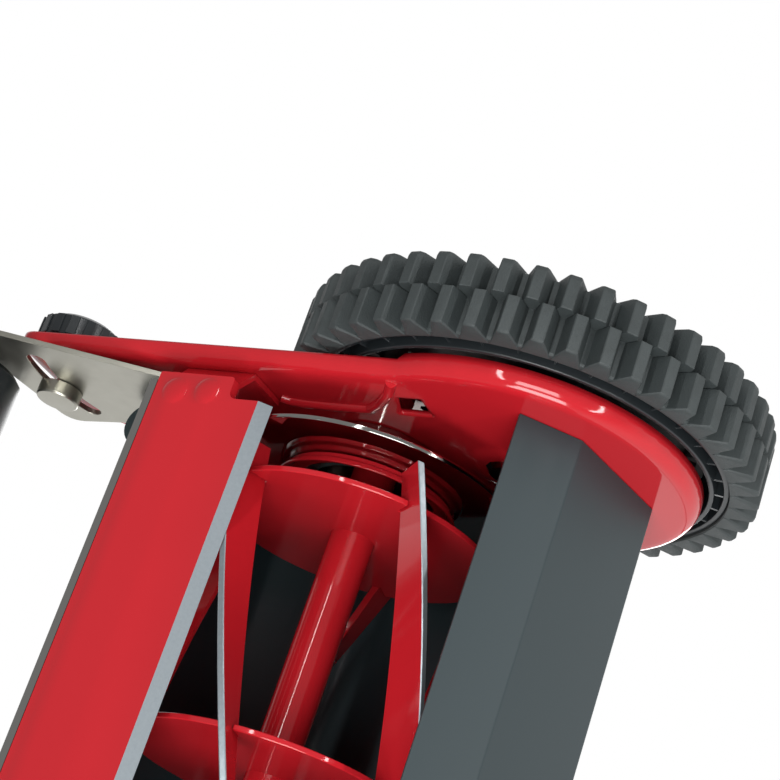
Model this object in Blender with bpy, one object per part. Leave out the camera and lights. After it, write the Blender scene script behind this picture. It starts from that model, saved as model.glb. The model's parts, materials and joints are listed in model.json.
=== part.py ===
"""A push reel mower: two geared wheels drive a five-blade reel against a fixed bed knife.

Metres, +X is the operator's right, +Y is forward, +Z is up. The origin is on the ground, below the
middle of the mower. Shapes of the chassis are given as (forward, up) from the wheel axle line, and
widths as distance from the middle plane. The left half mirrors the right half.
"""

import math

import bmesh
import bpy
from mathutils import Vector

# Clearances
GAP = 0.0003

# Wheels
WHEEL_RADIUS = 0.105
TYRE_SEAT_RADIUS = 0.092
TYRE_INNER_X = 0.2214
TYRE_WIDTH = 0.033
RIM_LIP_RADIUS = 0.0836
WEB_X = TYRE_INNER_X + 0.0235
AXLE_SPIGOT_RADIUS = 0.006
AXLE_BODY_RADIUS = 0.007
HUB_RADIUS = 0.014
HUB_OUTER_X = WEB_X + 0.0050

# Side plates, pressed from sheet with a flange turned out towards the wheel
PLATE_X = 0.2090
SHEET = 0.0025
PLATE_NOSE_RADIUS = 0.082
FLANGE_BEND = 0.0065
NOSE_FLANGE = 0.0097
TAIL_FLANGE = 0.0075
TAIL_BOTTOM = -0.079
TAIL_BACK = -0.221
NOSE_END = -0.021

# Reel
REEL_FORWARD = -0.0593
REEL_UP = -0.0081
BLADE_COUNT = 5
BLADE_OUTER_RADIUS = 0.0726
BLADE_INNER_RADIUS = 0.0534
BLADE_THICKNESS = 0.003
BLADE_HALF_LENGTH = 0.181
BLADE_TWIST = math.radians(-311.5)
BLADE_START = math.radians(11.97)
BLADE_STEPS = 18
DISC_RADIUS = 0.0627
DISC_THICKNESS = 0.0025
DISC_X = (-0.1662, -0.0554, 0.0554, 0.1662)
SHAFT_RADIUS = 0.0099
STUB_RADIUS = 0.006
SHIELD_X = PLATE_X - 0.0211
SHIELD_RADIUS = 0.0662
SLEEVE_RADIUS = 0.0270
BUSH_RADIUS = 0.0150
BUSH_FLANGE_RADIUS = 0.0240
BUSH_FLANGE = 0.0036

# Gear pair: a ring of internal teeth in each wheel turns a pinion on the reel shaft
RING_TEETH = 48
PINION_TEETH = 8
GEAR_CENTRES = math.hypot(REEL_FORWARD, REEL_UP)
MODULE = 2 * GEAR_CENTRES / (RING_TEETH - PINION_TEETH)
MESH_ANGLE = math.atan2(REEL_UP, REEL_FORWARD)

# Bed knife
KNIFE_HALF_WIDTH = 0.1889
KNIFE_EAR_X = PLATE_X - 0.0100
KNIFE_LIP = -0.0712
KNIFE_BEVEL = 0.0050
KNIFE_BACK = -0.1295
KNIFE_EAR_FRONT = -0.0914
KNIFE_THICKNESS = 0.0043
CUTTING_RADIUS = BLADE_OUTER_RADIUS + 0.0004
KNIFE_TOP = REEL_UP - math.sqrt(CUTTING_RADIUS**2 - (KNIFE_LIP - REEL_FORWARD) ** 2)
BAR_THICKNESS = 0.0037
BAR_HEIGHT = 0.026

# Rear roller on two swinging brackets
ROLLER_RADIUS = 0.030
ROLLER_FORWARD = -0.248
ROLLER_UP = ROLLER_RADIUS - WHEEL_RADIUS
ROLLER_HALF_WIDTH = 0.1985
ROLLER_AXLE_RADIUS = 0.006
BRACKET_PIVOT = (-0.137, -0.062)
CLAMP_BOLT = (-0.2035, -0.0555)
BRACKET_X = PLATE_X - 0.0056
BRACKET_SHEET = 0.0025
KNOB_RADIUS = 0.020
SLOT_ANGLES = (157.5, 196.5)

# Handle, a tube frame that swings on two bolts in the side plates
HANDLE_PIVOT = (-0.157, -0.030)
HANDLE_X = PLATE_X - 0.0186
TUBE_RADIUS = 0.0105
TUBE_WALL = 0.0015
LOWER_HANDLE_LENGTH = 0.550
HANDLE_LENGTH = 1.190
HANDLE_OVERLAP = 0.110
GRIP_RADIUS = 0.0150
BOLT_RADIUS = 0.004
NUT_RADIUS = 0.007
NUT_HEIGHT = 0.005

# The origin is under the middle of the footprint, from the wheels' front to the roller's back
AXLE_Y = (ROLLER_RADIUS - ROLLER_FORWARD - WHEEL_RADIUS) / 2
AXLE = Vector((0, AXLE_Y, WHEEL_RADIUS))
REEL_CENTRE = AXLE + Vector((0, REEL_FORWARD, REEL_UP))

FINISHES = {
    "red_enamel": ((0.58, 0.015, 0.025), 0.25, 0.0),
    "tyre_rubber": ((0.022, 0.024, 0.025), 0.75, 0.0),
    "black_plastic": ((0.012, 0.013, 0.014), 0.4, 0.0),
    "gear_nylon": ((0.55, 0.53, 0.46), 0.5, 0.0),
    "zinc_steel": ((0.42, 0.40, 0.36), 0.4, 1.0),
    "bright_steel": ((0.60, 0.60, 0.58), 0.3, 1.0),
    "grey_paint": ((0.055, 0.070, 0.078), 0.5, 0.0),
    "grip_foam": ((0.015, 0.015, 0.016), 0.9, 0.0),
}

for old in list(bpy.data.objects):
    bpy.data.objects.remove(old)


# --- general helpers -----------------------------------------------------------------------------


def from_axle(point, x=0.0):
    """World position of a (forward, up) point measured from the wheel axle line."""
    return AXLE + Vector((x, point[0], point[1]))


def make_object(name, bm, finish, origin=AXLE, smooth=35):
    """Turns a bmesh, whose points are relative to origin, into a shaded object with its own material."""
    bmesh.ops.recalc_face_normals(bm, faces=bm.faces)
    mesh = bpy.data.meshes.new(name)
    bm.to_mesh(mesh)
    bm.free()
    mesh.shade_smooth()
    mesh.set_sharp_from_angle(angle=math.radians(smooth))
    obj = bpy.data.objects.new(name, mesh)
    obj.location = origin
    bpy.context.scene.collection.objects.link(obj)
    colour, roughness, metallic = FINISHES[finish]
    material = bpy.data.materials.new(name)
    material.use_nodes = True
    shader = material.node_tree.nodes["Principled BSDF"]
    shader.inputs["Base Color"].default_value = (*colour, 1)
    shader.inputs["Roughness"].default_value = roughness
    shader.inputs["Metallic"].default_value = metallic
    mesh.materials.append(material)
    return obj


def mirrored(obj, name):
    """The left-hand copy of a right-hand piece, with its modifiers' result mirrored in X."""
    bpy.context.view_layer.update()
    evaluated = obj.evaluated_get(bpy.context.evaluated_depsgraph_get())
    bm = bmesh.new()
    bm.from_mesh(evaluated.to_mesh())
    evaluated.to_mesh_clear()
    for vertex in bm.verts:
        vertex.co.x = -vertex.co.x
    bmesh.ops.reverse_faces(bm, faces=bm.faces)
    mesh = bpy.data.meshes.new(name)
    bm.to_mesh(mesh)
    bm.free()
    mesh.materials.append(obj.data.materials[0].copy())
    mesh.materials[0].name = name
    copy = bpy.data.objects.new(name, mesh)
    copy.location = (-obj.location.x, obj.location.y, obj.location.z)
    bpy.context.scene.collection.objects.link(copy)
    return copy


def both_sides(maker):
    """Makes a piece on the right and its mirror image on the left."""
    right = maker()
    mirrored(right, right.name.replace("right", "left"))


def turned(name, profile, finish, origin, segments=36, closed=True):
    """A piece turned about X: profile lists (x, radius), closed round a bore or ending on the axis."""
    bm = bmesh.new()
    rings = []
    for x, radius in profile:
        if radius == 0:
            rings.append([bm.verts.new((x, 0, 0))] * segments)
            continue
        ring = []
        for step in range(segments):
            angle = 2 * math.pi * step / segments - math.pi / 2
            ring.append(bm.verts.new((x, radius * math.cos(angle), radius * math.sin(angle))))
        rings.append(ring)
    pairs = list(zip(rings, rings[1:] + rings[:1])) if closed else list(zip(rings, rings[1:]))
    for first, second in pairs:
        for step in range(segments):
            after = (step + 1) % segments
            corners = [first[step], first[after], second[after], second[step]]
            bm.faces.new(list(dict.fromkeys(corners)))
    return make_object(name, bm, finish, origin)


def plate(name, loops, low_x, high_x, finish, origin=AXLE):
    """A flat piece between two X planes: loops[0] is its outline and the others are its holes."""
    bm = bmesh.new()
    edges = []
    for loop in loops:
        points = [bm.verts.new((low_x, forward, up)) for forward, up in loop]
        edges += [bm.edges.new(pair) for pair in zip(points, points[1:] + points[:1])]
    filled = bmesh.ops.triangle_fill(bm, edges=edges, use_beauty=True, use_dissolve=False)
    faces = [item for item in filled["geom"] if isinstance(item, bmesh.types.BMFace)]
    raised = bmesh.ops.extrude_face_region(bm, geom=faces, use_keep_orig=True)
    points = [item for item in raised["geom"] if isinstance(item, bmesh.types.BMVert)]
    bmesh.ops.translate(bm, verts=points, vec=(high_x - low_x, 0, 0))
    return make_object(name, bm, finish, origin)


def arc(centre, radius, start, end, steps):
    """Points on an arc, angles in degrees from forward towards up."""
    angles = [math.radians(start + (end - start) * step / steps) for step in range(steps + 1)]
    return [(centre[0] + radius * math.cos(a), centre[1] + radius * math.sin(a)) for a in angles]


def circle(centre, radius, sides):
    return arc(centre, radius, 0, 360 * (1 - 1 / sides), sides - 1)


def rounded(corner, before, after, radius, steps=4):
    """An arc that rounds the corner between the points before and after it."""
    corner, before, after = Vector(corner), Vector(before), Vector(after)
    to_before = (before - corner).normalized()
    to_after = (after - corner).normalized()
    half = to_before.angle(to_after) / 2
    centre = corner + (to_before + to_after).normalized() * radius / math.sin(half)
    start = corner + to_before * radius / math.tan(half) - centre
    end = corner + to_after * radius / math.tan(half) - centre
    turn = start.angle_signed(end)
    points = []
    for step in range(steps + 1):
        angle = -turn * step / steps
        spoke = Vector((start.x * math.cos(angle) - start.y * math.sin(angle),
                        start.x * math.sin(angle) + start.y * math.cos(angle)))
        points.append(tuple(centre + spoke))
    return points


def inset(outline, distance):
    """The outline moved inwards, for an outline that runs from forward towards up."""
    moved = []
    for index, point in enumerate(outline):
        here = Vector(point)
        along = (here - Vector(outline[index - 1])).normalized()
        onward = (Vector(outline[(index + 1) % len(outline)]) - here).normalized()
        normals = [Vector((-edge.y, edge.x)) for edge in (along, onward)]
        shift = (normals[0] + normals[1]) / (1 + normals[0].dot(normals[1]))
        moved.append(tuple(here + shift * distance))
    return moved


def bent_sheet(name, path, thickness, half_width, finish):
    """A folded sheet across the mower: path is its outer line, and its thickness lies on the left."""
    shifted = []
    for index, point in enumerate(path):
        here = Vector(point)
        before = (here - Vector(path[max(index - 1, 0)])).normalized()
        after = (Vector(path[min(index + 1, len(path) - 1)]) - here).normalized()
        before = before if before.length else after
        after = after if after.length else before
        normals = [Vector((-edge.y, edge.x)) for edge in (before, after)]
        shift = (normals[0] + normals[1]) / (1 + normals[0].dot(normals[1]))
        shifted.append(tuple(here + shift * thickness))
    return plate(name, [list(path) + shifted[::-1]], -half_width, half_width, finish)


def cutter(name, bm, origin=AXLE):
    """A tool for a Boolean: it is left out of the part."""
    tool = make_object(name, bm, "zinc_steel", origin)
    tool.hide_render = True
    tool.display_type = "WIRE"
    return tool


def add_prism(bm, outline, low_x, high_x):
    low = [bm.verts.new((low_x, forward, up)) for forward, up in outline]
    high = [bm.verts.new((high_x, forward, up)) for forward, up in outline]
    bm.faces.new(low)
    bm.faces.new(high)
    for index in range(len(outline)):
        after = (index + 1) % len(outline)
        bm.faces.new((low[index], low[after], high[after], high[index]))


def drill(obj, tool):
    """Cuts the tool's shape out of the object."""
    cut = obj.modifiers.new("drill", "BOOLEAN")
    cut.operation = "DIFFERENCE"
    cut.solver = "EXACT"
    cut.object = tool


def bolt(name, centre, steps, finish="zinc_steel", segments=12):
    """A stepped solid pin along X through a (forward, up) centre: steps lists (x, radius) pairs."""
    profile = [(steps[0][0], 0), *steps, (steps[-1][0], 0)]
    return turned(name, profile, finish, from_axle(centre), segments, closed=False)


# --- side plates ---------------------------------------------------------------------------------

WINDOW = [(-0.0285, -0.059), (-0.0176, -0.059), (-0.018, -0.0447), (-0.0338, -0.0447)]
TIE_ROD = (-0.004, 0.058)
TIE_ROD_RADIUS = 0.007


def side_outline():
    """The nose is round about the axle; the tail runs back to the roller's clamp bolt."""
    nose_start = math.degrees(math.asin(TAIL_BOTTOM / PLATE_NOSE_RADIUS))
    nose = arc((0, 0), PLATE_NOSE_RADIUS, -180 - nose_start, 96, 18)
    top = (-0.110, 0.079)
    back_top = (TAIL_BACK, -0.018)
    back_bottom = (TAIL_BACK, TAIL_BOTTOM)
    return [
        *nose,
        *rounded(top, nose[-1], back_top, 0.030, 3),
        *rounded(back_top, top, back_bottom, 0.020, 3),
        *rounded(back_bottom, back_top, nose[0], 0.016, 3),
    ]


def side_plate():
    """A pan pressed from one sheet: each ring is the outline, inset, at its own depth."""
    outline = side_outline()
    quarter = [math.radians(angle) for angle in (0, 45, 90)]
    inner_bend = FLANGE_BEND - SHEET
    rings = [(FLANGE_BEND * (1 - math.sin(a)), FLANGE_BEND * (1 - math.cos(a))) for a in quarter]
    rings += [(0, None), (SHEET, None)]
    for a in reversed(quarter):
        rings.append((FLANGE_BEND - inner_bend * math.sin(a), FLANGE_BEND - inner_bend * math.cos(a)))
    bm = bmesh.new()
    loops = []
    for distance, depth in rings:
        loop = []
        for (forward, up), start in zip(inset(outline, distance), outline):
            flange = NOSE_FLANGE if start[0] > NOSE_END else TAIL_FLANGE
            loop.append(bm.verts.new((flange if depth is None else depth, forward, up)))
        loops.append(loop)
    for first, second in zip(loops, loops[1:]):
        for index in range(len(outline)):
            after = (index + 1) % len(outline)
            bm.faces.new((first[index], first[after], second[after], second[index]))
    bm.faces.new(loops[0])
    bm.faces.new(loops[-1])
    obj = make_object("side_plate_right", bm, "red_enamel", AXLE + Vector((PLATE_X, 0, 0)))

    holes = bmesh.new()
    reach = 0.02
    add_prism(holes, circle((0, 0), AXLE_BODY_RADIUS + GAP, 16), -reach, reach)
    add_prism(holes, circle((REEL_FORWARD, REEL_UP), BUSH_RADIUS + GAP, 16), -reach, reach)
    for centre in (HANDLE_PIVOT, BRACKET_PIVOT, CLAMP_BOLT):
        add_prism(holes, circle(centre, BOLT_RADIUS + GAP, 12), -reach, reach)
    add_prism(holes, WINDOW, -reach, reach)
    drill(obj, cutter("side_plate_holes", holes, obj.location))
    return obj


both_sides(side_plate)


# --- wheels --------------------------------------------------------------------------------------


def tyre():
    """The envelope of the lugs: their crowns touch the tread radius."""
    inner, outer = 0.0, TYRE_WIDTH
    profile = [
        (inner - 0.0009, TYRE_SEAT_RADIUS + GAP),
        (inner + 0.0055, WHEEL_RADIUS),
        (outer - 0.0055, WHEEL_RADIUS),
        (outer, WHEEL_RADIUS - 0.0055),
        (outer, TYRE_SEAT_RADIUS + GAP),
    ]
    return turned("tyre_right", profile, "tyre_rubber", AXLE + Vector((TYRE_INNER_X, 0, 0)), 40)


def wheel_rim():
    """A dished wheel: tyre seat, inner lip round the side plate, flat web and a bored hub."""
    web = WEB_X - TYRE_INNER_X
    bore = AXLE_SPIGOT_RADIUS + GAP
    profile = [
        (0.0005, TYRE_SEAT_RADIUS),
        (0.0300, TYRE_SEAT_RADIUS),
        (0.0300, 0.0880),
        (web + 0.0035, 0.0840),
        (web + 0.0035, HUB_RADIUS + 0.0050),
        (HUB_OUTER_X - TYRE_INNER_X, HUB_RADIUS + 0.0040),
        (HUB_OUTER_X - TYRE_INNER_X, bore),
        (0.0140, bore),
        (0.0140, HUB_RADIUS),
        (web, HUB_RADIUS),
        (web, 0.0800),
        (0.0120, RIM_LIP_RADIUS),
        (-0.0015, RIM_LIP_RADIUS),
        (-0.0015, RIM_LIP_RADIUS + 0.0022),
        (0.0090, RIM_LIP_RADIUS + 0.0026),
        (0.0090, 0.0893),
        (0.0005, 0.0896),
    ]
    origin = AXLE + Vector((TYRE_INNER_X, 0, 0))
    return turned("wheel_rim_right", profile, "black_plastic", origin, 32)


def gear_outline(teeth, root_radius, tip_radius, first_tooth, root_share, tip_share):
    """Trapezoid teeth: the shares are each tooth's part of its pitch angle at the root and the tip."""
    pitch = 2 * math.pi / teeth
    outline = []
    for tooth in range(teeth):
        centre = first_tooth + tooth * pitch
        for share, radius in ((-root_share, root_radius), (-tip_share, tip_radius),
                              (tip_share, tip_radius), (root_share, root_radius)):
            angle = centre + share * pitch / 2
            outline.append((radius * math.cos(angle), radius * math.sin(angle)))
    return outline


def ring_gear():
    """Internal teeth on the web: a space between two teeth faces the pinion."""
    pitch_radius = MODULE * RING_TEETH / 2
    root, tip = pitch_radius + MODULE, pitch_radius - 0.55 * MODULE
    first_tooth = MESH_ANGLE + math.pi / RING_TEETH
    teeth = gear_outline(RING_TEETH, root, tip, first_tooth, 0.58, 0.26)
    rim = circle((0, 0), 0.0790, RING_TEETH)
    return plate("ring_gear_right", [rim, teeth], TYRE_INNER_X + 0.0130, WEB_X - GAP, "gear_nylon")


def drive_pinion():
    """External teeth on the reel shaft's stub: one tooth points away from the axle, into the ring."""
    pitch_radius = MODULE * PINION_TEETH / 2
    root, tip = pitch_radius - 0.95 * MODULE, pitch_radius + 0.75 * MODULE
    teeth = gear_outline(PINION_TEETH, root, tip, MESH_ANGLE, 0.62, 0.20)
    bore = circle((0, 0), STUB_RADIUS + GAP, 16)
    low_x, high_x = TYRE_INNER_X + 0.0125, WEB_X - 0.0012
    return plate("drive_pinion_right", [teeth, bore], low_x, high_x, "bright_steel", REEL_CENTRE)


def wheel_axle():
    """A shouldered stub axle riveted through the side plate; the wheel runs on its spigot."""
    shoulder_x = TYRE_INNER_X + 0.0135
    steps = [
        (PLATE_X - 0.0031, 0.0090),
        (PLATE_X - GAP, 0.0120),
        (PLATE_X - GAP, AXLE_BODY_RADIUS),
        (PLATE_X + SHEET + GAP, AXLE_BODY_RADIUS),
        (PLATE_X + SHEET + GAP, 0.0130),
        (shoulder_x, 0.0110),
        (shoulder_x, AXLE_SPIGOT_RADIUS),
        (HUB_OUTER_X + 0.0015, AXLE_SPIGOT_RADIUS),
    ]
    return bolt("wheel_axle_right", (0, 0), steps, "bright_steel")


def hub_cap():
    """A shallow cup snapped over the axle's end."""
    origin = AXLE + Vector((HUB_OUTER_X + GAP, 0, 0))
    hollow = [(0.0025, 0), (0.0022, 0.0125), (0, 0.0130)]
    dome = [(0, 0.0165), (0.0025, 0.0160), (0.0038, 0.0120), (0.0042, 0)]
    return turned("hub_cap_right", hollow + dome, "black_plastic", origin, 20, closed=False)


for maker in (tyre, wheel_rim, ring_gear, drive_pinion, wheel_axle, hub_cap):
    both_sides(maker)


# --- reel ----------------------------------------------------------------------------------------


def blade_angle(x):
    """Where a blade stands at a place across the mower, from forward towards up."""
    return BLADE_START + BLADE_TWIST * x


def reel_shaft():
    shoulder = PLATE_X - BUSH_FLANGE - 0.0008
    end = WEB_X - 0.0010
    steps = [(-end, STUB_RADIUS), (-shoulder, STUB_RADIUS), (-shoulder, SHAFT_RADIUS),
             (shoulder, SHAFT_RADIUS), (shoulder, STUB_RADIUS), (end, STUB_RADIUS)]
    bolt("reel_shaft", (REEL_FORWARD, REEL_UP), steps, "red_enamel", 20)


def reel_disc(number, x):
    """A spider disc: each blade stands in a notch in its rim."""
    half_slot = BLADE_THICKNESS / 2 + 0.0009
    slot_floor = BLADE_INNER_RADIUS - 0.0005
    outline = []
    for blade in range(BLADE_COUNT):
        centre = blade_angle(x) + 2 * math.pi * blade / BLADE_COUNT
        half_mouth = math.asin(half_slot / DISC_RADIUS)
        half_floor = math.asin(half_slot / slot_floor)
        for angle, radius in ((centre - half_mouth, DISC_RADIUS), (centre - half_floor, slot_floor),
                              (centre + half_floor, slot_floor), (centre + half_mouth, DISC_RADIUS)):
            outline.append((radius * math.cos(angle), radius * math.sin(angle)))
        next_mouth = centre + 2 * math.pi / BLADE_COUNT - half_mouth
        for step in range(1, 4):
            angle = centre + half_mouth + (next_mouth - centre - half_mouth) * step / 4
            outline.append((DISC_RADIUS * math.cos(angle), DISC_RADIUS * math.sin(angle)))
    bore = circle((0, 0), SHAFT_RADIUS + GAP, 20)
    low_x, high_x = x - DISC_THICKNESS / 2, x + DISC_THICKNESS / 2
    plate(f"reel_disc_{number}", [outline, bore], low_x, high_x, "red_enamel", REEL_CENTRE)


def reel_blade(number):
    """A strip on edge, wound round the reel; its outer edge is ground to the cutting radius."""
    bm = bmesh.new()
    sections = []
    for step in range(BLADE_STEPS + 1):
        x = BLADE_HALF_LENGTH * (2 * step / BLADE_STEPS - 1)
        angle = blade_angle(x) + 2 * math.pi * number / BLADE_COUNT
        section = []
        for radius, side in ((BLADE_INNER_RADIUS, -1), (BLADE_OUTER_RADIUS, -1),
                             (BLADE_OUTER_RADIUS, 1), (BLADE_INNER_RADIUS, 1)):
            turn = angle + math.asin(side * BLADE_THICKNESS / 2 / radius)
            section.append(bm.verts.new((x, radius * math.cos(turn), radius * math.sin(turn))))
        sections.append(section)
    for first, second in zip(sections, sections[1:]):
        for index in range(4):
            after = (index + 1) % 4
            bm.faces.new((first[index], first[after], second[after], second[index]))
    bm.faces.new(sections[0])
    bm.faces.new(sections[-1])
    make_object(f"reel_blade_{number + 1}", bm, "red_enamel", REEL_CENTRE)


def reel_bearing():
    """A flanged bush in the side plate."""
    bore, outer = STUB_RADIUS + GAP, 0.0055
    profile = [(outer, bore), (outer, BUSH_RADIUS), (-GAP, BUSH_RADIUS), (-GAP, BUSH_FLANGE_RADIUS),
               (-BUSH_FLANGE, BUSH_FLANGE_RADIUS), (-BUSH_FLANGE, bore)]
    origin = REEL_CENTRE + Vector((PLATE_X, 0, 0))
    return turned("reel_bearing_right", profile, "black_plastic", origin, 16)


def end_shield():
    """A fixed disc on a sleeve: it keeps grass off the bearing at the reel's end."""
    face = SHIELD_X - PLATE_X
    back, rim_end = face + 0.0020, face + 0.0065
    bore, rim_inside = BUSH_FLANGE_RADIUS + GAP, SHIELD_RADIUS - 0.0020
    profile = [(-GAP, bore), (-GAP, SLEEVE_RADIUS), (back, SLEEVE_RADIUS), (back, rim_inside),
               (rim_end, rim_inside), (rim_end, SHIELD_RADIUS), (face, SHIELD_RADIUS), (face, bore)]
    origin = REEL_CENTRE + Vector((PLATE_X, 0, 0))
    return turned("end_shield_right", profile, "bright_steel", origin, 28)


def bearing_cover():
    """A stepped bell, bolted to the shield and open towards the reel's first disc."""
    outer = [(0, 0.0378), (-0.0024, 0.0384), (-0.0030, 0.0400), (-0.0058, 0.0412)]
    inner = [(-0.0058, 0.0397), (-0.0042, 0.0385), (-0.0034, 0.0368), (-0.0018, 0.0362), (-0.0018, 0.0300)]
    profile = [(0, 0.0300), *outer, *inner]
    centre = REEL_CENTRE + Vector((SHIELD_X - GAP, 0, 0))
    return turned("bearing_cover_right", profile, "red_enamel", centre, 24)


reel_shaft()
for disc, disc_x in enumerate(DISC_X, 1):
    reel_disc(disc, disc_x)
for blade_number in range(BLADE_COUNT):
    reel_blade(blade_number)
for maker in (reel_bearing, end_shield, bearing_cover):
    both_sides(maker)


# --- bed knife -----------------------------------------------------------------------------------


def bed_knife():
    """A flat plate with an ear at each end; its front edge is ground back underneath."""
    half, ear = KNIFE_HALF_WIDTH, KNIFE_EAR_X
    right = [(half, KNIFE_LIP), (half, KNIFE_EAR_FRONT), (ear, KNIFE_EAR_FRONT), (ear, KNIFE_BACK)]
    outline = right + [(-x, forward) for x, forward in reversed(right)]
    bm = bmesh.new()
    bottom, top = KNIFE_TOP - KNIFE_THICKNESS, KNIFE_TOP
    lower = []
    for x, forward in outline:
        ground = KNIFE_BEVEL if forward == KNIFE_LIP else 0
        lower.append(bm.verts.new((x, forward - ground, bottom)))
    upper = [bm.verts.new((x, forward, top)) for x, forward in outline]
    bm.faces.new(lower)
    bm.faces.new(upper)
    for index in range(len(outline)):
        after = (index + 1) % len(outline)
        bm.faces.new((lower[index], lower[after], upper[after], upper[index]))
    make_object("bed_knife", bm, "red_enamel")


def bed_bar():
    """An upright bar that stiffens the knife's back edge."""
    back = KNIFE_BACK - GAP
    bottom = KNIFE_TOP - KNIFE_THICKNESS
    top, rear = bottom + BAR_HEIGHT, back - BAR_THICKNESS
    outline = [(rear, bottom), (back, bottom), (back, top), (rear, top)]
    half = KNIFE_HALF_WIDTH + 0.0060
    plate("bed_bar", [outline], -half, half, "bright_steel")


def knife_arm():
    """A folded strap that carries the knife's ear from the side plate."""
    foot_inner, wall_inner, wall_outer = PLATE_X - 0.0236, PLATE_X - GAP - SHEET, PLATE_X - GAP
    foot, top = KNIFE_TOP + GAP, -0.047
    foot_outer, wall_foot = KNIFE_EAR_X - 0.0010, foot + 0.0095
    foot_fold, wall_fold = SHEET * math.tan(math.radians(20)), SHEET * math.tan(math.radians(25))
    section = [(foot_inner, foot), (foot_outer, foot), (wall_outer, wall_foot), (wall_outer, top),
               (wall_inner, top), (wall_inner, wall_foot + wall_fold), (foot_outer - foot_fold, foot + SHEET),
               (foot_inner, foot + SHEET)]
    bm = bmesh.new()
    ends = []
    for forward in (KNIFE_EAR_FRONT - 0.0015, KNIFE_BACK + 0.0020):
        ends.append([bm.verts.new((x, forward, up)) for x, up in section])
    for end in ends:
        bm.faces.new(end)
    for index in range(len(section)):
        after = (index + 1) % len(section)
        bm.faces.new((ends[0][index], ends[0][after], ends[1][after], ends[1][index]))
    return make_object("knife_arm_right", bm, "red_enamel")


bed_knife()
bed_bar()
both_sides(knife_arm)


# --- covers and tie rod --------------------------------------------------------------------------

COVER_SHEET = 0.0015
INSIDE_HALF_WIDTH = PLATE_X - GAP
DEFLECTOR_PATH = [(0.027, -0.055), (0.0475, -0.0356), (0.058, 0.0236), (0.0455, 0.0360)]
COVER_PATH = [(0.0530, 0.0317), (0.0130, 0.0715), (-0.0960, 0.0765), (-0.1330, 0.0450), (-0.1458, -0.0080)]

bent_sheet("front_deflector", DEFLECTOR_PATH, COVER_SHEET, INSIDE_HALF_WIDTH, "grey_paint")
bent_sheet("top_cover", COVER_PATH, COVER_SHEET, INSIDE_HALF_WIDTH, "grey_paint")
tie_ends = [(-INSIDE_HALF_WIDTH, TIE_ROD_RADIUS), (INSIDE_HALF_WIDTH, TIE_ROD_RADIUS)]
bolt("tie_rod", TIE_ROD, tie_ends, "grey_paint")


# --- rear roller, its brackets and clamps --------------------------------------------------------


def about_pivot(angle, radius):
    """A (forward, up) point round the bracket's pivot."""
    turn = math.radians(angle)
    return (BRACKET_PIVOT[0] + radius * math.cos(turn), BRACKET_PIVOT[1] + radius * math.sin(turn))


def roller_bracket():
    """A plate that swings on its front pin; the arc slot lets it slide past the clamp bolt."""
    roller = (ROLLER_FORWARD, ROLLER_UP)
    outline = [
        *arc(BRACKET_PIVOT, 0.0125, 290, 470, 8),
        *rounded((-0.158, -0.052), (-0.140, -0.050), (-0.172, -0.050), 0.008, 2),
        *rounded((-0.172, -0.028), (-0.172, -0.050), (-0.202, -0.0215), 0.007, 3),
        *rounded((-0.220, -0.023), (-0.190, -0.0245), (-0.226, -0.067), 0.013, 4),
        (-0.2270, -0.0665),
        *arc(roller, 0.0130, 60, 250, 8),
        *rounded((-0.2120, -0.1030), (-0.2500, -0.0870), (-0.1330, -0.0738), 0.012, 3),
    ]
    reach = math.dist(CLAMP_BOLT, BRACKET_PIVOT)
    half_width = BOLT_RADIUS + 0.0006
    high, low = SLOT_ANGLES
    stops = [high + (low - high) * step / 4 for step in range(5)]
    slot = [
        *[about_pivot(angle, reach + half_width) for angle in stops],
        *arc(about_pivot(low, reach), half_width, low, low + 180, 4)[1:-1],
        *[about_pivot(angle, reach - half_width) for angle in reversed(stops)],
        *arc(about_pivot(high, reach), half_width, high + 180, high + 360, 4)[1:-1],
    ]
    pin_hole = circle(BRACKET_PIVOT, BOLT_RADIUS + GAP, 12)
    axle_hole = circle(roller, ROLLER_AXLE_RADIUS + GAP, 12)
    loops = [outline, slot, pin_hole, axle_hole]
    return plate("roller_bracket_right", loops, BRACKET_X - BRACKET_SHEET, BRACKET_X, "zinc_steel")


def bracket_pivot_pin():
    """A riveted pin: a dished head inside and an upset end outside the plate."""
    inner = BRACKET_X - BRACKET_SHEET - GAP
    outer = PLATE_X + SHEET + GAP
    steps = [(inner - 0.0030, 0.0065), (inner - 0.0022, 0.0080), (inner, 0.0080), (inner, BOLT_RADIUS),
             (outer, BOLT_RADIUS), (outer, 0.0065), (outer + 0.0040, 0.0065)]
    return bolt("bracket_pivot_pin_right", BRACKET_PIVOT, steps, "red_enamel")


def clamp_bolt():
    """A thick round head inside, and a shank through slot and plate into the knob."""
    inner = BRACKET_X - BRACKET_SHEET - GAP
    steps = [(inner - 0.0065, 0.0092), (inner - 0.0055, 0.0100), (inner, 0.0100), (inner, BOLT_RADIUS),
             (PLATE_X + 0.0180, BOLT_RADIUS)]
    return bolt("clamp_bolt_right", CLAMP_BOLT, steps, segments=16)


def clamp_knob():
    """A broad round knob with a blind bore for the clamp bolt."""
    bore, base, rim = BOLT_RADIUS + GAP, SHEET + GAP, 0.0100
    hollow = [(0.0185, 0), (0.0185, bore), (base, bore)]
    hub = [(base, 0.0085), (rim, 0.0090)]
    grip = [(rim, KNOB_RADIUS - 0.0010), (0.0195, KNOB_RADIUS), (0.0225, KNOB_RADIUS - 0.0040), (0.0230, 0)]
    origin = from_axle(CLAMP_BOLT, PLATE_X)
    return turned("clamp_knob_right", hollow + hub + grip, "black_plastic", origin, 20, closed=False)


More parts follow.
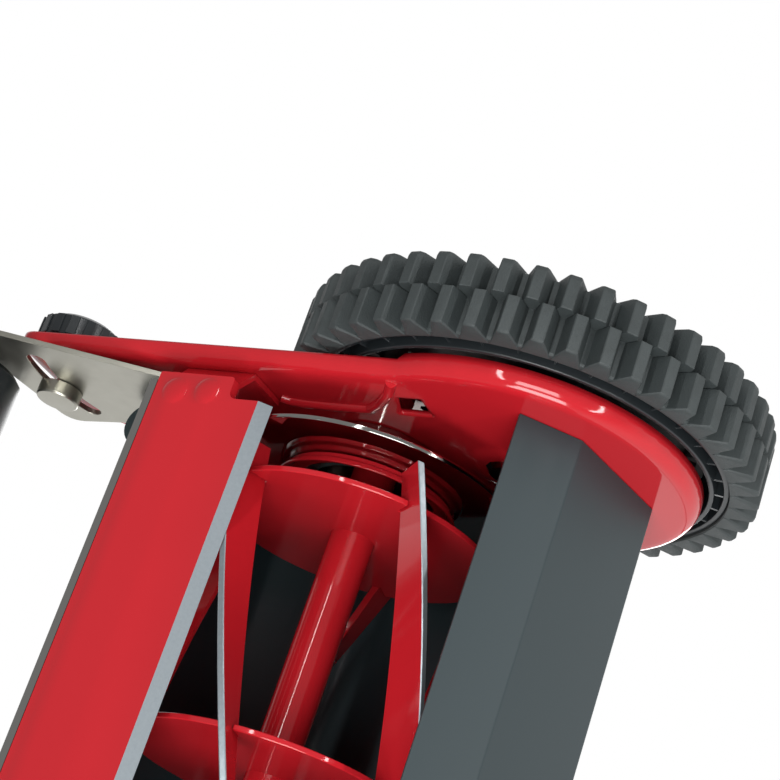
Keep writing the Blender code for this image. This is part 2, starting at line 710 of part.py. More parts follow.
def rear_roller():
    """A moulded tube with thick ends that turn on the roller axle."""
    half, bore, chamfer = ROLLER_HALF_WIDTH, ROLLER_AXLE_RADIUS + GAP, 0.003
    profile = [(-half, bore), (-half, ROLLER_RADIUS - chamfer), (chamfer - half, ROLLER_RADIUS),
               (half - chamfer, ROLLER_RADIUS), (half, ROLLER_RADIUS - chamfer), (half, bore)]
    turned("rear_roller", profile, "black_plastic", from_axle((ROLLER_FORWARD, ROLLER_UP)), 24)


def roller_axle():
    """A through rod with a pressed collar outside each bracket."""
    collar = BRACKET_X + GAP
    steps = [(collar, ROLLER_AXLE_RADIUS), (collar, 0.0095), (collar + NUT_HEIGHT, 0.0095),
             (collar + NUT_HEIGHT, ROLLER_AXLE_RADIUS), (collar + 0.0082, 0.0050)]
    left = [(-x, radius) for x, radius in reversed(steps)]
    bolt("roller_axle", (ROLLER_FORWARD, ROLLER_UP), left + steps, "bright_steel")


for maker in (roller_bracket, bracket_pivot_pin, clamp_bolt, clamp_knob):
    both_sides(maker)
rear_roller()
roller_axle()


# --- handle --------------------------------------------------------------------------------------

TUBE_SIDES = 10
FOOT_BELOW_PIVOT = 0.014
UPPER_HANDLE_X = HANDLE_X - 2 * TUBE_RADIUS - GAP
CORNER_RADIUS = 0.060
JOINT_BOLT_HEIGHT = LOWER_HANDLE_LENGTH - HANDLE_OVERLAP / 2


def swept_tube(name, path, finish, origin):
    """A round tube, open at both ends, along a path in the X-Z plane."""
    bm = bmesh.new()
    walls = {radius: [] for radius in (TUBE_RADIUS, TUBE_RADIUS - TUBE_WALL)}
    for index, point in enumerate(path):
        before = Vector(path[max(index - 1, 0)])
        after = Vector(path[min(index + 1, len(path) - 1)])
        along = (after - before).normalized()
        across = Vector((along.y, -along.x))
        for radius, rings in walls.items():
            ring = []
            for side in range(TUBE_SIDES):
                angle = 2 * math.pi * side / TUBE_SIDES
                x = point[0] + across.x * radius * math.cos(angle)
                z = point[1] + across.y * radius * math.cos(angle)
                ring.append(bm.verts.new((x, radius * math.sin(angle), z)))
            rings.append(ring)
    outer, inner = walls.values()
    loops = outer + inner[::-1]
    for first, second in zip(loops, loops[1:] + loops[:1]):
        for side in range(TUBE_SIDES):
            after = (side + 1) % TUBE_SIDES
            bm.faces.new((first[side], first[after], second[after], second[side]))
    return make_object(name, bm, finish, origin)


def drill_across(obj, height, reach_from, reach_to):
    """Drills a bolt hole along X through a tube, at a height above the handle's pivot."""
    bm = bmesh.new()
    add_prism(bm, circle((0, height), BOLT_RADIUS + GAP, 10), reach_from, reach_to)
    tool = cutter(f"{obj.name}_hole", bm, (0, obj.location.y, from_axle(HANDLE_PIVOT).z))
    drill(obj, tool)


def lower_handle():
    pivot = from_axle(HANDLE_PIVOT, HANDLE_X)
    path = [(0, -FOOT_BELOW_PIVOT), (0, LOWER_HANDLE_LENGTH)]
    obj = swept_tube("lower_handle_right", path, "grey_paint", pivot)
    for height in (0, JOINT_BOLT_HEIGHT):
        drill_across(obj, height, HANDLE_X - 2 * TUBE_RADIUS, HANDLE_X + 2 * TUBE_RADIUS)
    return obj


def upper_handle():
    """One tube bent into a U: it is bolted inside the lower tubes and carries the grips."""
    corner_x = UPPER_HANDLE_X - CORNER_RADIUS
    corner_z = HANDLE_LENGTH - CORNER_RADIUS
    foot = (UPPER_HANDLE_X, LOWER_HANDLE_LENGTH - HANDLE_OVERLAP)
    right = [foot, *arc((corner_x, corner_z), CORNER_RADIUS, 0, 90, 6)]
    path = right + [(-x, z) for x, z in reversed(right)]
    obj = swept_tube("upper_handle", path, "grey_paint", from_axle(HANDLE_PIVOT))
    drill_across(obj, JOINT_BOLT_HEIGHT, -HANDLE_X, HANDLE_X)


def handle_pivot_bolt():
    """A bolt through the handle's foot and the side plate, with its nut outside."""
    inner = HANDLE_X - TUBE_RADIUS - GAP
    outer = PLATE_X + SHEET + GAP
    steps = [(inner - NUT_HEIGHT, NUT_RADIUS), (inner, NUT_RADIUS), (inner, BOLT_RADIUS),
             (outer, BOLT_RADIUS), (outer, NUT_RADIUS), (outer + NUT_HEIGHT, NUT_RADIUS)]
    return bolt("handle_pivot_bolt_right", HANDLE_PIVOT, steps)


def handle_joint_bolt():
    """A bolt with a domed head outside; it clamps the upper tube to the lower one."""
    inner = UPPER_HANDLE_X - TUBE_RADIUS - GAP
    outer = HANDLE_X + TUBE_RADIUS + GAP
    steps = [(inner - NUT_HEIGHT, NUT_RADIUS), (inner, NUT_RADIUS), (inner, BOLT_RADIUS),
             (outer, BOLT_RADIUS), (outer, 0.0080), (outer + 0.0035, 0.0070)]
    centre = (HANDLE_PIVOT[0], HANDLE_PIVOT[1] + JOINT_BOLT_HEIGHT)
    return bolt("handle_joint_bolt_right", centre, steps)


def handle_grip():
    """A foam sleeve on the crossbar."""
    inner_x, outer_x = 0.004, UPPER_HANDLE_X - CORNER_RADIUS - 0.002
    sides, chamfer = 12, 0.0015
    bore = (TUBE_RADIUS + GAP) / math.cos(math.pi / sides)
    profile = [(inner_x, bore), (inner_x, GRIP_RADIUS - chamfer), (inner_x + chamfer, GRIP_RADIUS),
               (outer_x - chamfer, GRIP_RADIUS), (outer_x, GRIP_RADIUS - chamfer), (outer_x, bore)]
    centre = from_axle(HANDLE_PIVOT) + Vector((0, 0, HANDLE_LENGTH))
    return turned("handle_grip_right", profile, "grip_foam", centre, sides)


for maker in (lower_handle, handle_pivot_bolt, handle_joint_bolt, handle_grip):
    both_sides(maker)
upper_handle()
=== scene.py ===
# %% [markdown]
# # A push reel mower, finished
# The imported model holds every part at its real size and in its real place. This lesson gives that frame its
# finished surfaces: pressed sheet with rolled edges, a lugged tyre, ground blades, enamel, rubber and zinc.
# Each piece takes its place from the frame and rides on one of its bodies, so the joints carry it along.

# %% Load the frame
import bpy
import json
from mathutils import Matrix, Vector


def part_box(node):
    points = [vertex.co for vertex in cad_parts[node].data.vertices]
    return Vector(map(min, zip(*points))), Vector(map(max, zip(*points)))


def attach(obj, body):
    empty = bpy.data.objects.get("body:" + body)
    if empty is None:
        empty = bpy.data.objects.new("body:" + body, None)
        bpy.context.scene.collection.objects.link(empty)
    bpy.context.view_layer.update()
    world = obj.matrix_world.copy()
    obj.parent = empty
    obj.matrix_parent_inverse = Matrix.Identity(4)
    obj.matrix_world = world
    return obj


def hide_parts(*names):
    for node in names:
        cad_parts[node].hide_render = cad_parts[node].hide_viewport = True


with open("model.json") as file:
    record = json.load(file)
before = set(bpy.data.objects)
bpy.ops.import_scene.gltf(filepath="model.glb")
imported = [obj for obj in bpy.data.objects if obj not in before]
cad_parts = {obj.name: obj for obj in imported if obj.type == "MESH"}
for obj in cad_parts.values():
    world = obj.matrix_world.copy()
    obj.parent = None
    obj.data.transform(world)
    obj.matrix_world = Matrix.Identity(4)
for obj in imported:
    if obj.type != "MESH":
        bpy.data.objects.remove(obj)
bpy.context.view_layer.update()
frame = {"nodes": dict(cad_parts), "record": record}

# %% The modules that build the pieces
import json
import math

import bmesh
import bpy
from mathutils import Matrix, Vector, geometry

# %% [markdown]
# ## Where things are
# A mower is laid out from its wheel axle, so places here are (forward, up) from that line, and X runs
# across the mower. The numbers could be typed in from a drawing, but then a change of size would leave them
# behind. The frame's own boxes always agree with the parts, so they are read instead.

# %% Places read from the frame


def middle(node):
    low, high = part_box(node)
    return (low + high) / 2


AXLE = middle("wheel_rim_right")
REEL = middle("reel_shaft")
ROLLER = middle("roller_axle")
CLAMP = middle("clamp_knob_right")
BRACKET_PIN = middle("bracket_pivot_pin_right")
HANDLE_FOOT = middle("handle_pivot_bolt_right")
LUG_TIP = 0.0009
TYRE_INNER_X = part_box("tyre_right")[0].x + LUG_TIP
WHEEL_RADIUS = AXLE.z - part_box("tyre_right")[0].z
PLATE_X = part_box("side_plate_right")[0].x
SHIELD_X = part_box("end_shield_right")[0].x
SHEET = 0.0025
PLAY = 0.0003


def from_axle(forward, up, x=0.0):
    return Vector((x, AXLE.y + forward, AXLE.z + up))


def place(centre):
    """The (forward, up) of a point, from the axle line."""
    return (centre.y - AXLE.y, centre.z - AXLE.z)


print(f"wheel radius {WHEEL_RADIUS * 1000:.1f} mm, side plate at {PLATE_X * 1000:.1f} mm")

# %% [markdown]
# ## The camera
# The view is from below and in front, close to the right wheel. A camera could be aimed with a Track To
# constraint, but that can't hold a roll. Two square directions, to the right and to the top of the picture,
# say both at once. The long lens keeps the parts in proportion, and there is no depth of field.

# %% Place the camera
LENS = 103.3
EYE = (-0.1582, 0.5213, -0.6670)


def in_scene(name, data):
    """An object that holds some data, linked into the scene."""
    obj = bpy.data.objects.new(name, data)
    bpy.context.scene.collection.objects.link(obj)
    return obj


def stood(position, right, top, back):
    """A matrix that puts an object at a position, with its X, Y and Z along three square directions."""
    return Matrix.Translation(position) @ Matrix((right, top, back)).transposed().to_4x4()


to_right = Vector((0.3060, 0.8610, 0.4063))
to_top = Vector((0.8646, -0.0728, -0.4971))
to_top = (to_top - to_right * to_top.dot(to_right)).normalized()
backwards = to_right.cross(to_top)
camera = in_scene("view", bpy.data.cameras.new("view"))
camera.data.sensor_width = 36
camera.data.lens = LENS
camera.matrix_world = stood(EYE, to_right, to_top, backwards)
bpy.context.scene.camera = camera
bpy.context.scene.view_settings.view_transform = "Standard"
print("the camera looks along", [round(value, 3) for value in -backwards])

# %% [markdown]
# ## Light and floor
# A product studio is a bright tent with a few big soft lamps. A picture of a studio could light the scene
# too, but a world built from nodes needs no file. It is bright above and dim below. Two long tubes draw the
# paired streaks on shaft and enamel, and larger lamps fill in round them. The floor shows only to a camera
# above it, because most of the light comes from below: the lamps shine and reflect straight through.

# %% The tent
TENT_DIM, TENT_BRIGHT = 0.32, 0.95


def maths(tree, operation, *values):
    """A maths node fed by sockets or numbers."""
    node = tree.nodes.new("ShaderNodeMath")
    node.operation = operation
    for socket, value in zip(node.inputs, values):
        if isinstance(value, (int, float)):
            socket.default_value = value
        else:
            tree.links.new(value, socket)
    return node.outputs[0]


world = bpy.data.worlds.new("tent")
bpy.context.scene.world = world
world.use_nodes = True
tent = world.node_tree
rays = tent.nodes.new("ShaderNodeLightPath")
heading = tent.nodes.new("ShaderNodeTexCoord")
axes = tent.nodes.new("ShaderNodeSeparateXYZ")
height = tent.nodes.new("ShaderNodeMapRange")
height.inputs["From Min"].default_value = -0.15
height.inputs["From Max"].default_value = 0.25
height.inputs["To Min"].default_value = TENT_DIM
height.inputs["To Max"].default_value = TENT_BRIGHT
tent.links.new(heading.outputs["Generated"], axes.inputs[0])
tent.links.new(axes.outputs["Z"], height.inputs["Value"])
brightest = maths(tent, "MAXIMUM", height.outputs["Result"], rays.outputs["Is Camera Ray"])
background = tent.nodes["Background"]
background.inputs["Color"].default_value = (1, 1, 1, 1)
tent.links.new(brightest, background.inputs["Strength"])
print(f"the tent's strength goes from {TENT_DIM} below to {TENT_BRIGHT} above")

# %% The lamps
LAMPS = [
    # name, direction from the mower, distance, size across the mower and the other way, power
    ("tube below", (0.15, 0.16, -0.90), 1.2, (2.2, 0.06), 7),
    ("tube in front", (0.05, 0.85, -0.34), 1.2, (2.2, 0.05), 7),
    ("key", (-0.50, 0.45, -0.74), 2.2, (0.9, 0.9), 22),
    ("window", (-0.91, 0.25, -0.34), 1.8, (0.75, 0.75), 18),
    ("top", (0.3, -0.4, 0.9), 2.2, (1.4, 1.4), 22),
]
LAMP_TARGET = Vector((0.15, 0.03, 0.09))


def lamp(name, direction, distance, size, power):
    """A soft rectangular lamp that looks at the mower's right end."""
    data = bpy.data.lights.new(name, "AREA")
    data.shape = "RECTANGLE"
    data.size, data.size_y = size
    data.energy = power
    aim = Vector(direction).normalized()
    across = (Vector((1, 0, 0)) - aim * aim.x).normalized()
    in_scene(name, data).matrix_world = stood(LAMP_TARGET + aim * distance, across, aim.cross(across), aim)


for settings in LAMPS:
    lamp(*settings)

# %% The floor
FLOOR_REACH = 40.0
FLOOR_DROP = 0.0005

floor_mesh = bpy.data.meshes.new("floor")
corners = [(x * FLOOR_REACH, y * FLOOR_REACH, 0) for x, y in ((-1, -1), (1, -1), (1, 1), (-1, 1))]
floor_mesh.from_pydata(corners, [], [(0, 1, 2, 3)])
floor = in_scene("floor", floor_mesh)
floor.location.z = -FLOOR_DROP
floor_paint = bpy.data.materials.new("floor")
floor_paint.use_nodes = True
tree = floor_paint.node_tree
paint = tree.nodes["Principled BSDF"]
paint.inputs["Base Color"].default_value = (0.80, 0.80, 0.79, 1)
paint.inputs["Roughness"].default_value = 1.0
paint.inputs["Specular IOR Level"].default_value = 0.0
clear = tree.nodes.new("ShaderNodeBsdfTransparent")
choose = tree.nodes.new("ShaderNodeMixShader")
path = tree.nodes.new("ShaderNodeLightPath")
side = tree.nodes.new("ShaderNodeNewGeometry")
shown = maths(tree, "SUBTRACT", path.outputs["Is Camera Ray"], side.outputs["Backfacing"])
shown.node.use_clamp = True
tree.links.new(shown, choose.inputs["Fac"])
tree.links.new(clear.outputs["BSDF"], choose.inputs[1])
tree.links.new(paint.outputs["BSDF"], choose.inputs[2])
tree.links.new(choose.outputs["Shader"], tree.nodes["Material Output"].inputs["Surface"])
floor_mesh.materials.append(floor_paint)
print("the floor reaches", FLOOR_REACH, "m each way")

# %% [markdown]
# ## Two effects that every finish shares
# Nothing leaves a factory in one flat colour. Handling and moulding leave slow patches of colour and gloss,
# and every surface has a fine relief: orange peel on enamel, grain on plastic, brush marks on metal.
# Painted pictures could show both, but they need unwrapping. Noise in a node group needs none and serves
# every finish, and it reads the piece's own coordinates, so a pattern stays put as parts move.

# %% The uneven finish


def new_group(name, inputs, outputs):
    """A shader node group: inputs lists (name, kind, value), and outputs lists (name, kind)."""
    group = bpy.data.node_groups.new(name, "ShaderNodeTree")
    for title, kind, value in inputs:
        socket = group.interface.new_socket(title, in_out="INPUT", socket_type=kind)
        socket.default_value = value
    for title, kind in outputs:
        group.interface.new_socket(title, in_out="OUTPUT", socket_type=kind)
    return group, group.nodes.new("NodeGroupInput"), group.nodes.new("NodeGroupOutput")


def uneven_group():
    """Patches of another shade, with the gloss going up and down over them."""
    group, start, end = new_group(
        "uneven finish",
        [("Colour", "NodeSocketColor", (0.5, 0.5, 0.5, 1)), ("Shade", "NodeSocketColor", (0.4, 0.4, 0.4, 1)),
         ("Amount", "NodeSocketFloat", 0.3), ("Size", "NodeSocketFloat", 20.0),
         ("Roughness", "NodeSocketFloat", 0.5), ("Roughness Spread", "NodeSocketFloat", 0.1)],
        [("Colour", "NodeSocketColor"), ("Roughness", "NodeSocketFloat")])
    nodes, links = group.nodes, group.links
    where = nodes.new("ShaderNodeTexCoord")
    noise = nodes.new("ShaderNodeTexNoise")
    noise.inputs["Detail"].default_value = 5
    noise.inputs["Roughness"].default_value = 0.6
    mix = nodes.new("ShaderNodeMix")
    mix.data_type = "RGBA"
    links.new(where.outputs["Object"], noise.inputs["Vector"])
    links.new(start.outputs["Size"], noise.inputs["Scale"])
    share = maths(group, "MULTIPLY", noise.outputs["Fac"], start.outputs["Amount"])
    links.new(share, mix.inputs["Factor"])
    links.new(start.outputs["Colour"], mix.inputs["A"])
    links.new(start.outputs["Shade"], mix.inputs["B"])
    centred = maths(group, "SUBTRACT", noise.outputs["Fac"], 0.5)
    spread, roughness = start.outputs["Roughness Spread"], start.outputs["Roughness"]
    gloss = maths(group, "MULTIPLY_ADD", centred, spread, roughness)
    links.new(mix.outputs["Result"], end.inputs["Colour"])
    links.new(gloss, end.inputs["Roughness"])
    return group


UNEVEN = uneven_group()
print("node group:", UNEVEN.name, "with", len(UNEVEN.nodes), "nodes")

# %% The fine relief


def relief_group():
    """Fine bumps, which Stretch can draw out into brush marks."""
    group, start, end = new_group(
        "fine relief",
        [("Stretch", "NodeSocketVector", (1, 1, 1)), ("Size", "NodeSocketFloat", 400.0),
         ("Detail", "NodeSocketFloat", 2.0)],
        [("Height", "NodeSocketFloat")])
    nodes, links = group.nodes, group.links
    where = nodes.new("ShaderNodeTexCoord")
    stretch = nodes.new("ShaderNodeVectorMath")
    stretch.operation = "MULTIPLY"
    noise = nodes.new("ShaderNodeTexNoise")
    links.new(where.outputs["Object"], stretch.inputs[0])
    links.new(start.outputs["Stretch"], stretch.inputs[1])
    links.new(stretch.outputs[0], noise.inputs["Vector"])
    links.new(start.outputs["Size"], noise.inputs["Scale"])
    links.new(start.outputs["Detail"], noise.inputs["Detail"])
    links.new(noise.outputs["Fac"], end.inputs["Height"])
    return group


RELIEF = relief_group()
print("node group:", RELIEF.name, "with", len(RELIEF.nodes), "nodes")

# %% [markdown]
# ## The finishes
# The sheet is enamelled red or painted dark grey, the tyre is rubber, the rims, knobs and roller are
# moulded plastic, the fittings are zinc plated and the cutting edges are ground to bare steel. Each finish
# could be its own tangle of nodes, but one recipe keeps them alike: a Principled shader with the two groups
# in front of it. What is the same all over, such as metal, is set on the shader itself. What varies comes
# from the groups.

# %% A finish from the two groups
FINISHES = {}


def with_group(tree, group, **values):
    """A node group placed in a material, with values for its inputs."""
    node = tree.nodes.new("ShaderNodeGroup")
    node.node_tree = group
    for title, value in values.items():
        node.inputs[title.replace("_", " ")].default_value = value
    return node


def finish(name, colour, shade, roughness, spread=0.08, amount=0.5, patch=25.0, grain=400.0, depth=0.00002,
           stretch=(1, 1, 1), detail=2.0, **fixed):
    """A material; fixed holds shader sockets by their names, with _ for a space."""
    material = bpy.data.materials.new(name)
    material.use_nodes = True
    nodes, links = material.node_tree.nodes, material.node_tree.links
    shader = nodes["Principled BSDF"]
    uneven = with_group(material.node_tree, UNEVEN, Colour=(*colour, 1), Shade=(*shade, 1), Amount=amount,
                        Size=patch, Roughness=roughness, Roughness_Spread=spread)
    relief = with_group(material.node_tree, RELIEF, Stretch=stretch, Size=grain, Detail=detail)
    bump = nodes.new("ShaderNodeBump")
    bump.inputs["Strength"].default_value = 1.0
    bump.inputs["Distance"].default_value = depth
    links.new(uneven.outputs["Colour"], shader.inputs["Base Color"])
    links.new(uneven.outputs["Roughness"], shader.inputs["Roughness"])
    links.new(relief.outputs["Height"], bump.inputs["Height"])
    links.new(bump.outputs["Normal"], shader.inputs["Normal"])
    for socket, value in fixed.items():
        shader.inputs[socket.replace("_", " ")].default_value = value
    FINISHES[name] = material


finish("red_enamel", (0.47, 0.013, 0.020), (0.41, 0.010, 0.016), 0.07, spread=0.03, grain=300, depth=0.000004,
       IOR=1.5)
finish("grey_paint", (0.017, 0.031, 0.036), (0.023, 0.034, 0.036), 0.45, spread=0.06, grain=700,
       depth=0.00001)
print("paints:", ", ".join(FINISHES))

# %% Rubber, plastic and foam
finish("tyre_rubber", (0.040, 0.050, 0.051), (0.021, 0.026, 0.026), 0.60, spread=0.2, amount=0.9, patch=130,
       grain=1500, depth=0.00020, detail=5)
finish("black_plastic", (0.012, 0.015, 0.017), (0.020, 0.024, 0.026), 0.30, grain=1400, depth=0.00002)
finish("gear_nylon", (0.020, 0.022, 0.023), (0.030, 0.032, 0.033), 0.45, grain=900, depth=0.00001)
finish("grip_foam", (0.012, 0.012, 0.013), (0.020, 0.020, 0.021), 0.9, grain=1500, depth=0.00015, detail=4)
print("finishes so far:", ", ".join(FINISHES))

# %% Steel
finish("zinc_steel", (0.41, 0.40, 0.345), (0.33, 0.32, 0.28), 0.34, spread=0.18, patch=90, grain=500,
       depth=0.000012, stretch=(1, 0.15, 0.6), Metallic=1.0)
finish("bright_steel", (0.46, 0.45, 0.43), (0.38, 0.37, 0.35), 0.07, spread=0.04, patch=50, grain=600,
       depth=0.000002, Metallic=1.0)
finish("ground_steel", (0.42, 0.47, 0.50), (0.26, 0.30, 0.33), 0.40, spread=0.15, amount=0.9, patch=500,
       grain=900, depth=0.00005, stretch=(0.2, 1, 1), detail=4, Metallic=0.8)
print("all finishes:", ", ".join(FINISHES))

# %% [markdown]
# ## Outlines
# Sharp corners don't exist on real parts: a press, a mould or a saw always leaves a radius. A Bevel
# modifier could round them afterwards, but it treats every sharp edge alike. Rounding the outline first
# lets each corner have its own radius, and the piece is then turned, cut or folded from it.

# %% Arcs and rounded corners
NEARLY_STRAIGHT = math.radians(172)
CORNER_SHARE = 0.45


def arc(centre, radius, start, end, steps):
    """Points on an arc, angles in degrees from forward towards up."""
    angles = [math.radians(start + (end - start) * step / steps) for step in range(steps + 1)]
    return [(centre[0] + radius * math.cos(a), centre[1] + radius * math.sin(a)) for a in angles]


def rounded_corner(before, corner, after, radius, steps):
    """Points of a curve that rounds a corner, or the corner itself where it is nearly straight."""
    corner = Vector(corner)
    back, on = Vector(before) - corner, Vector(after) - corner
    if radius == 0 or back.length < 1e-9 or on.length < 1e-9 or back.angle(on) > NEARLY_STRAIGHT:
        return [tuple(corner)]
    half = back.angle(on) / 2
    cut = min(radius / math.tan(half), CORNER_SHARE * back.length, CORNER_SHARE * on.length)
    start, end = corner + back.normalized() * cut, corner + on.normalized() * cut
    shares = [step / steps for step in range(steps + 1)]
    return [tuple(start * (1 - t) ** 2 + corner * 2 * t * (1 - t) + end * t**2) for t in shares]


def rounded(points, radius, steps=3, closed=True):
    """A path with its corners rounded; radius is one value, or one for each point."""
    radii = radius if isinstance(radius, (list, tuple)) else [radius] * len(points)
    path = []
    for index, corner in enumerate(points):
        if not closed and index in (0, len(points) - 1):
            path.append(tuple(corner))
            continue
        before, after = points[index - 1], points[(index + 1) % len(points)]
        path += rounded_corner(before, corner, after, radii[index], steps)
    return path


print("a square with round corners has", len(rounded([(0, 0), (1, 0), (1, 1), (0, 1)], 0.2)), "points")

# %% [markdown]
# ## Turned pieces
# Hubs, pins, discs and the roller come off a lathe or out of a round mould. Blender's Spin or Screw could
# turn a profile, but the points it leaves on the axis then have to be merged. Building the rings from the
# profile is as short, and a ring of no radius becomes one point, so the pole is closed.

# %% From points to a piece
SAME_POINT = 1e-6


def skinned(bm, rows, closed=False):
    """Faces between neighbouring rows of points, each row a loop; closed joins the last row to the first."""
    made = []
    following = rows[1:] + rows[:1] if closed else rows[1:]
    for first, second in zip(rows, following):
        for index in range(len(first)):
            after = (index + 1) % len(first)
            corners = list(dict.fromkeys([first[index], first[after], second[after], second[index]]))
            if len(corners) > 2:
                made.append(bm.faces.new(corners))
    return made


def piece_from(name, bm, slot, smooth=38, outward=True):
    """An object from a bmesh, shaded smooth except at sharp edges, in one finish."""
    bmesh.ops.remove_doubles(bm, verts=bm.verts, dist=SAME_POINT)
    if outward:
        bmesh.ops.recalc_face_normals(bm, faces=bm.faces)
    mesh = bpy.data.meshes.new(name)
    bm.to_mesh(mesh)
    bm.free()
    mesh.shade_smooth()
    mesh.set_sharp_from_angle(angle=math.radians(smooth))
    mesh.materials.append(FINISHES[slot])
    return in_scene(name, mesh)


def turned(name, profile, centre, slot, segments=64, edge=0.0005, closed=True, smooth=38):
    """A lathe piece about X, from (x, radius) points; closed runs round a bore, else it ends on the axis."""
    bm = bmesh.new()
    rings = []
    for x, radius in rounded(profile, edge, closed=closed):
        if radius < 1e-7:
            rings.append([bm.verts.new((x, centre[1], centre[2]))] * segments)
            continue
        angles = [math.tau * step / segments for step in range(segments)]
        rings.append([bm.verts.new((x, centre[1] + radius * math.cos(a), centre[2] + radius * math.sin(a)))
                      for a in angles])
    skinned(bm, rings, closed)
    return piece_from(name, bm, slot, smooth)


print("points closer than", SAME_POINT * 1000, "mm become one")

# %% [markdown]
# ## Fitting pieces to the frame
# A mower is handed: most parts come as a right one and a left one. A Mirror modifier could make the pair,
# but the two wheels turn on bodies of their own, so each side has to be its own object. The right-hand
# piece is built, copied and reflected, the copy's faces are flipped back outwards, and each of the two is
# hung on its body.

# %% Join, mirror and fit


def joined(name, pieces):
    """One object from several, keeping each face's finish."""
    finishes = list(dict.fromkeys(m for piece in pieces for m in piece.data.materials))
    bm = bmesh.new()
    for piece in pieces:
        new_index = [finishes.index(material) for material in piece.data.materials]
        for polygon in piece.data.polygons:
            polygon.material_index = new_index[polygon.material_index]
        bm.from_mesh(piece.data)
        bpy.data.objects.remove(piece)
    mesh = bpy.data.meshes.new(name)
    bm.to_mesh(mesh)
    bm.free()
    for material in finishes:
        mesh.materials.append(material)
    return in_scene(name, mesh)


def mirrored(piece, name):
    """The left-hand copy of a right-hand piece."""
    mesh = piece.data.copy()
    mesh.name = name
    mesh.transform(Matrix.Diagonal((-1, 1, 1, 1)))
    mesh.flip_normals()
    return in_scene(name, mesh)


def fit(piece, body, slot, *stands_for):
    """Hangs a finished piece on a body and hides the plain nodes that it stands for."""
    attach(piece, body)
    if stands_for:
        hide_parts(*stands_for)
    print(f"{piece.name}: {len(piece.data.polygons)} faces, rides on {body}")


def fit_both(piece, body, slot, *stands_for):
    """Fits a right-hand piece and its mirror image."""
    left = mirrored(piece, piece.name.replace("right", "left"))
    fit(piece, body, slot, *stands_for)
    fit(left, body.replace("right", "left"), slot, *[node.replace("right", "left") for node in stands_for])


print("parts that come in pairs:", sum(name.endswith("_right") for name in frame["nodes"]))

# %% [markdown]
# ## Copies in a ring
# Lugs, ribs, flutes and blades all repeat round an axis. An Array modifier could repeat them, but it needs
# a helper object to turn about. One Geometry Nodes tree does it with a number: it puts a point for each
# copy on the axis, turns an instance of the seed mesh at each, makes the copies real and gives them their
# finish. Faces marked as ground get bare steel instead.

# %% The ring tree


def geometry_tree(name, inputs):
    """An empty Geometry Nodes tree with a geometry input and output; inputs lists (name, kind)."""
    tree = bpy.data.node_groups.new(name, "GeometryNodeTree")
    tree.interface.new_socket("Geometry", in_out="INPUT", socket_type="NodeSocketGeometry")
    for title, kind in inputs:
        tree.interface.new_socket(title, in_out="INPUT", socket_type=kind)
    tree.interface.new_socket("Geometry", in_out="OUTPUT", socket_type="NodeSocketGeometry")
    return tree, tree.nodes.new("NodeGroupInput"), tree.nodes.new("NodeGroupOutput")


def ring_tree():
    tree, start, end = geometry_tree("ring of copies", [
        ("Count", "NodeSocketInt"), ("Centre", "NodeSocketVector"), ("First Angle", "NodeSocketFloat"),
        ("Finish", "NodeSocketMaterial"), ("Ground Finish", "NodeSocketMaterial")])
    nodes, links = tree.nodes, tree.links
    index = nodes.new("GeometryNodeInputIndex")
    angle = maths(tree, "MULTIPLY", index.outputs[0], math.tau)
    angle = maths(tree, "DIVIDE", angle, start.outputs["Count"])
    angle = maths(tree, "ADD", angle, start.outputs["First Angle"])
    points = nodes.new("GeometryNodePoints")
    turn = nodes.new("ShaderNodeCombineXYZ")
    rotation = nodes.new("FunctionNodeEulerToRotation")
    copies = nodes.new("GeometryNodeInstanceOnPoints")
    real = nodes.new("GeometryNodeRealizeInstances")
    finish_all = nodes.new("GeometryNodeSetMaterial")
    marked = nodes.new("GeometryNodeInputNamedAttribute")
    marked.data_type = "BOOLEAN"
    marked.inputs["Name"].default_value = "ground"
    finish_ground = nodes.new("GeometryNodeSetMaterial")
    links.new(start.outputs["Count"], points.inputs["Count"])
    links.new(start.outputs["Centre"], points.inputs["Position"])
    links.new(angle, turn.inputs["X"])
    links.new(turn.outputs[0], rotation.inputs[0])
    links.new(points.outputs[0], copies.inputs["Points"])
    links.new(start.outputs["Geometry"], copies.inputs["Instance"])
    links.new(rotation.outputs[0], copies.inputs["Rotation"])
    links.new(copies.outputs[0], real.inputs[0])
    links.new(real.outputs[0], finish_all.inputs["Geometry"])
    links.new(start.outputs["Finish"], finish_all.inputs["Material"])
    links.new(finish_all.outputs[0], finish_ground.inputs["Geometry"])
    links.new(marked.outputs["Attribute"], finish_ground.inputs["Selection"])
    links.new(start.outputs["Ground Finish"], finish_ground.inputs["Material"])
    links.new(finish_ground.outputs[0], end.inputs["Geometry"])
    return tree


RING = ring_tree()
print("the ring tree has", len(RING.nodes), "nodes")

# %% Grow a piece with a tree


def settle(obj):
    """Replaces the mesh by what the modifiers make of it, and drops the modifiers."""
    bpy.context.view_layer.update()
    evaluated = obj.evaluated_get(bpy.context.evaluated_depsgraph_get())
    mesh = bpy.data.meshes.new_from_object(evaluated)
    obj.modifiers.clear()
    obj.data = mesh
    mesh.name = obj.name
    return obj


def grown(name, seed, tree, smooth=30, **inputs):
    """Runs a tree on a seed bmesh and keeps the plain mesh that comes out."""
    bmesh.ops.recalc_face_normals(seed, faces=seed.faces)
    mesh = bpy.data.meshes.new(name)
    seed.to_mesh(mesh)
    seed.free()
    obj = in_scene(name, mesh)
    modifier = obj.modifiers.new("grow", "NODES")
    modifier.node_group = tree
    for item in tree.interface.items_tree:
        title = item.name.replace(" ", "_")
        if item.in_out == "INPUT" and title in inputs:
            modifier[item.identifier] = inputs[title]
    settle(obj)
    obj.data.shade_smooth()
    obj.data.set_sharp_from_angle(angle=math.radians(smooth))
    return obj


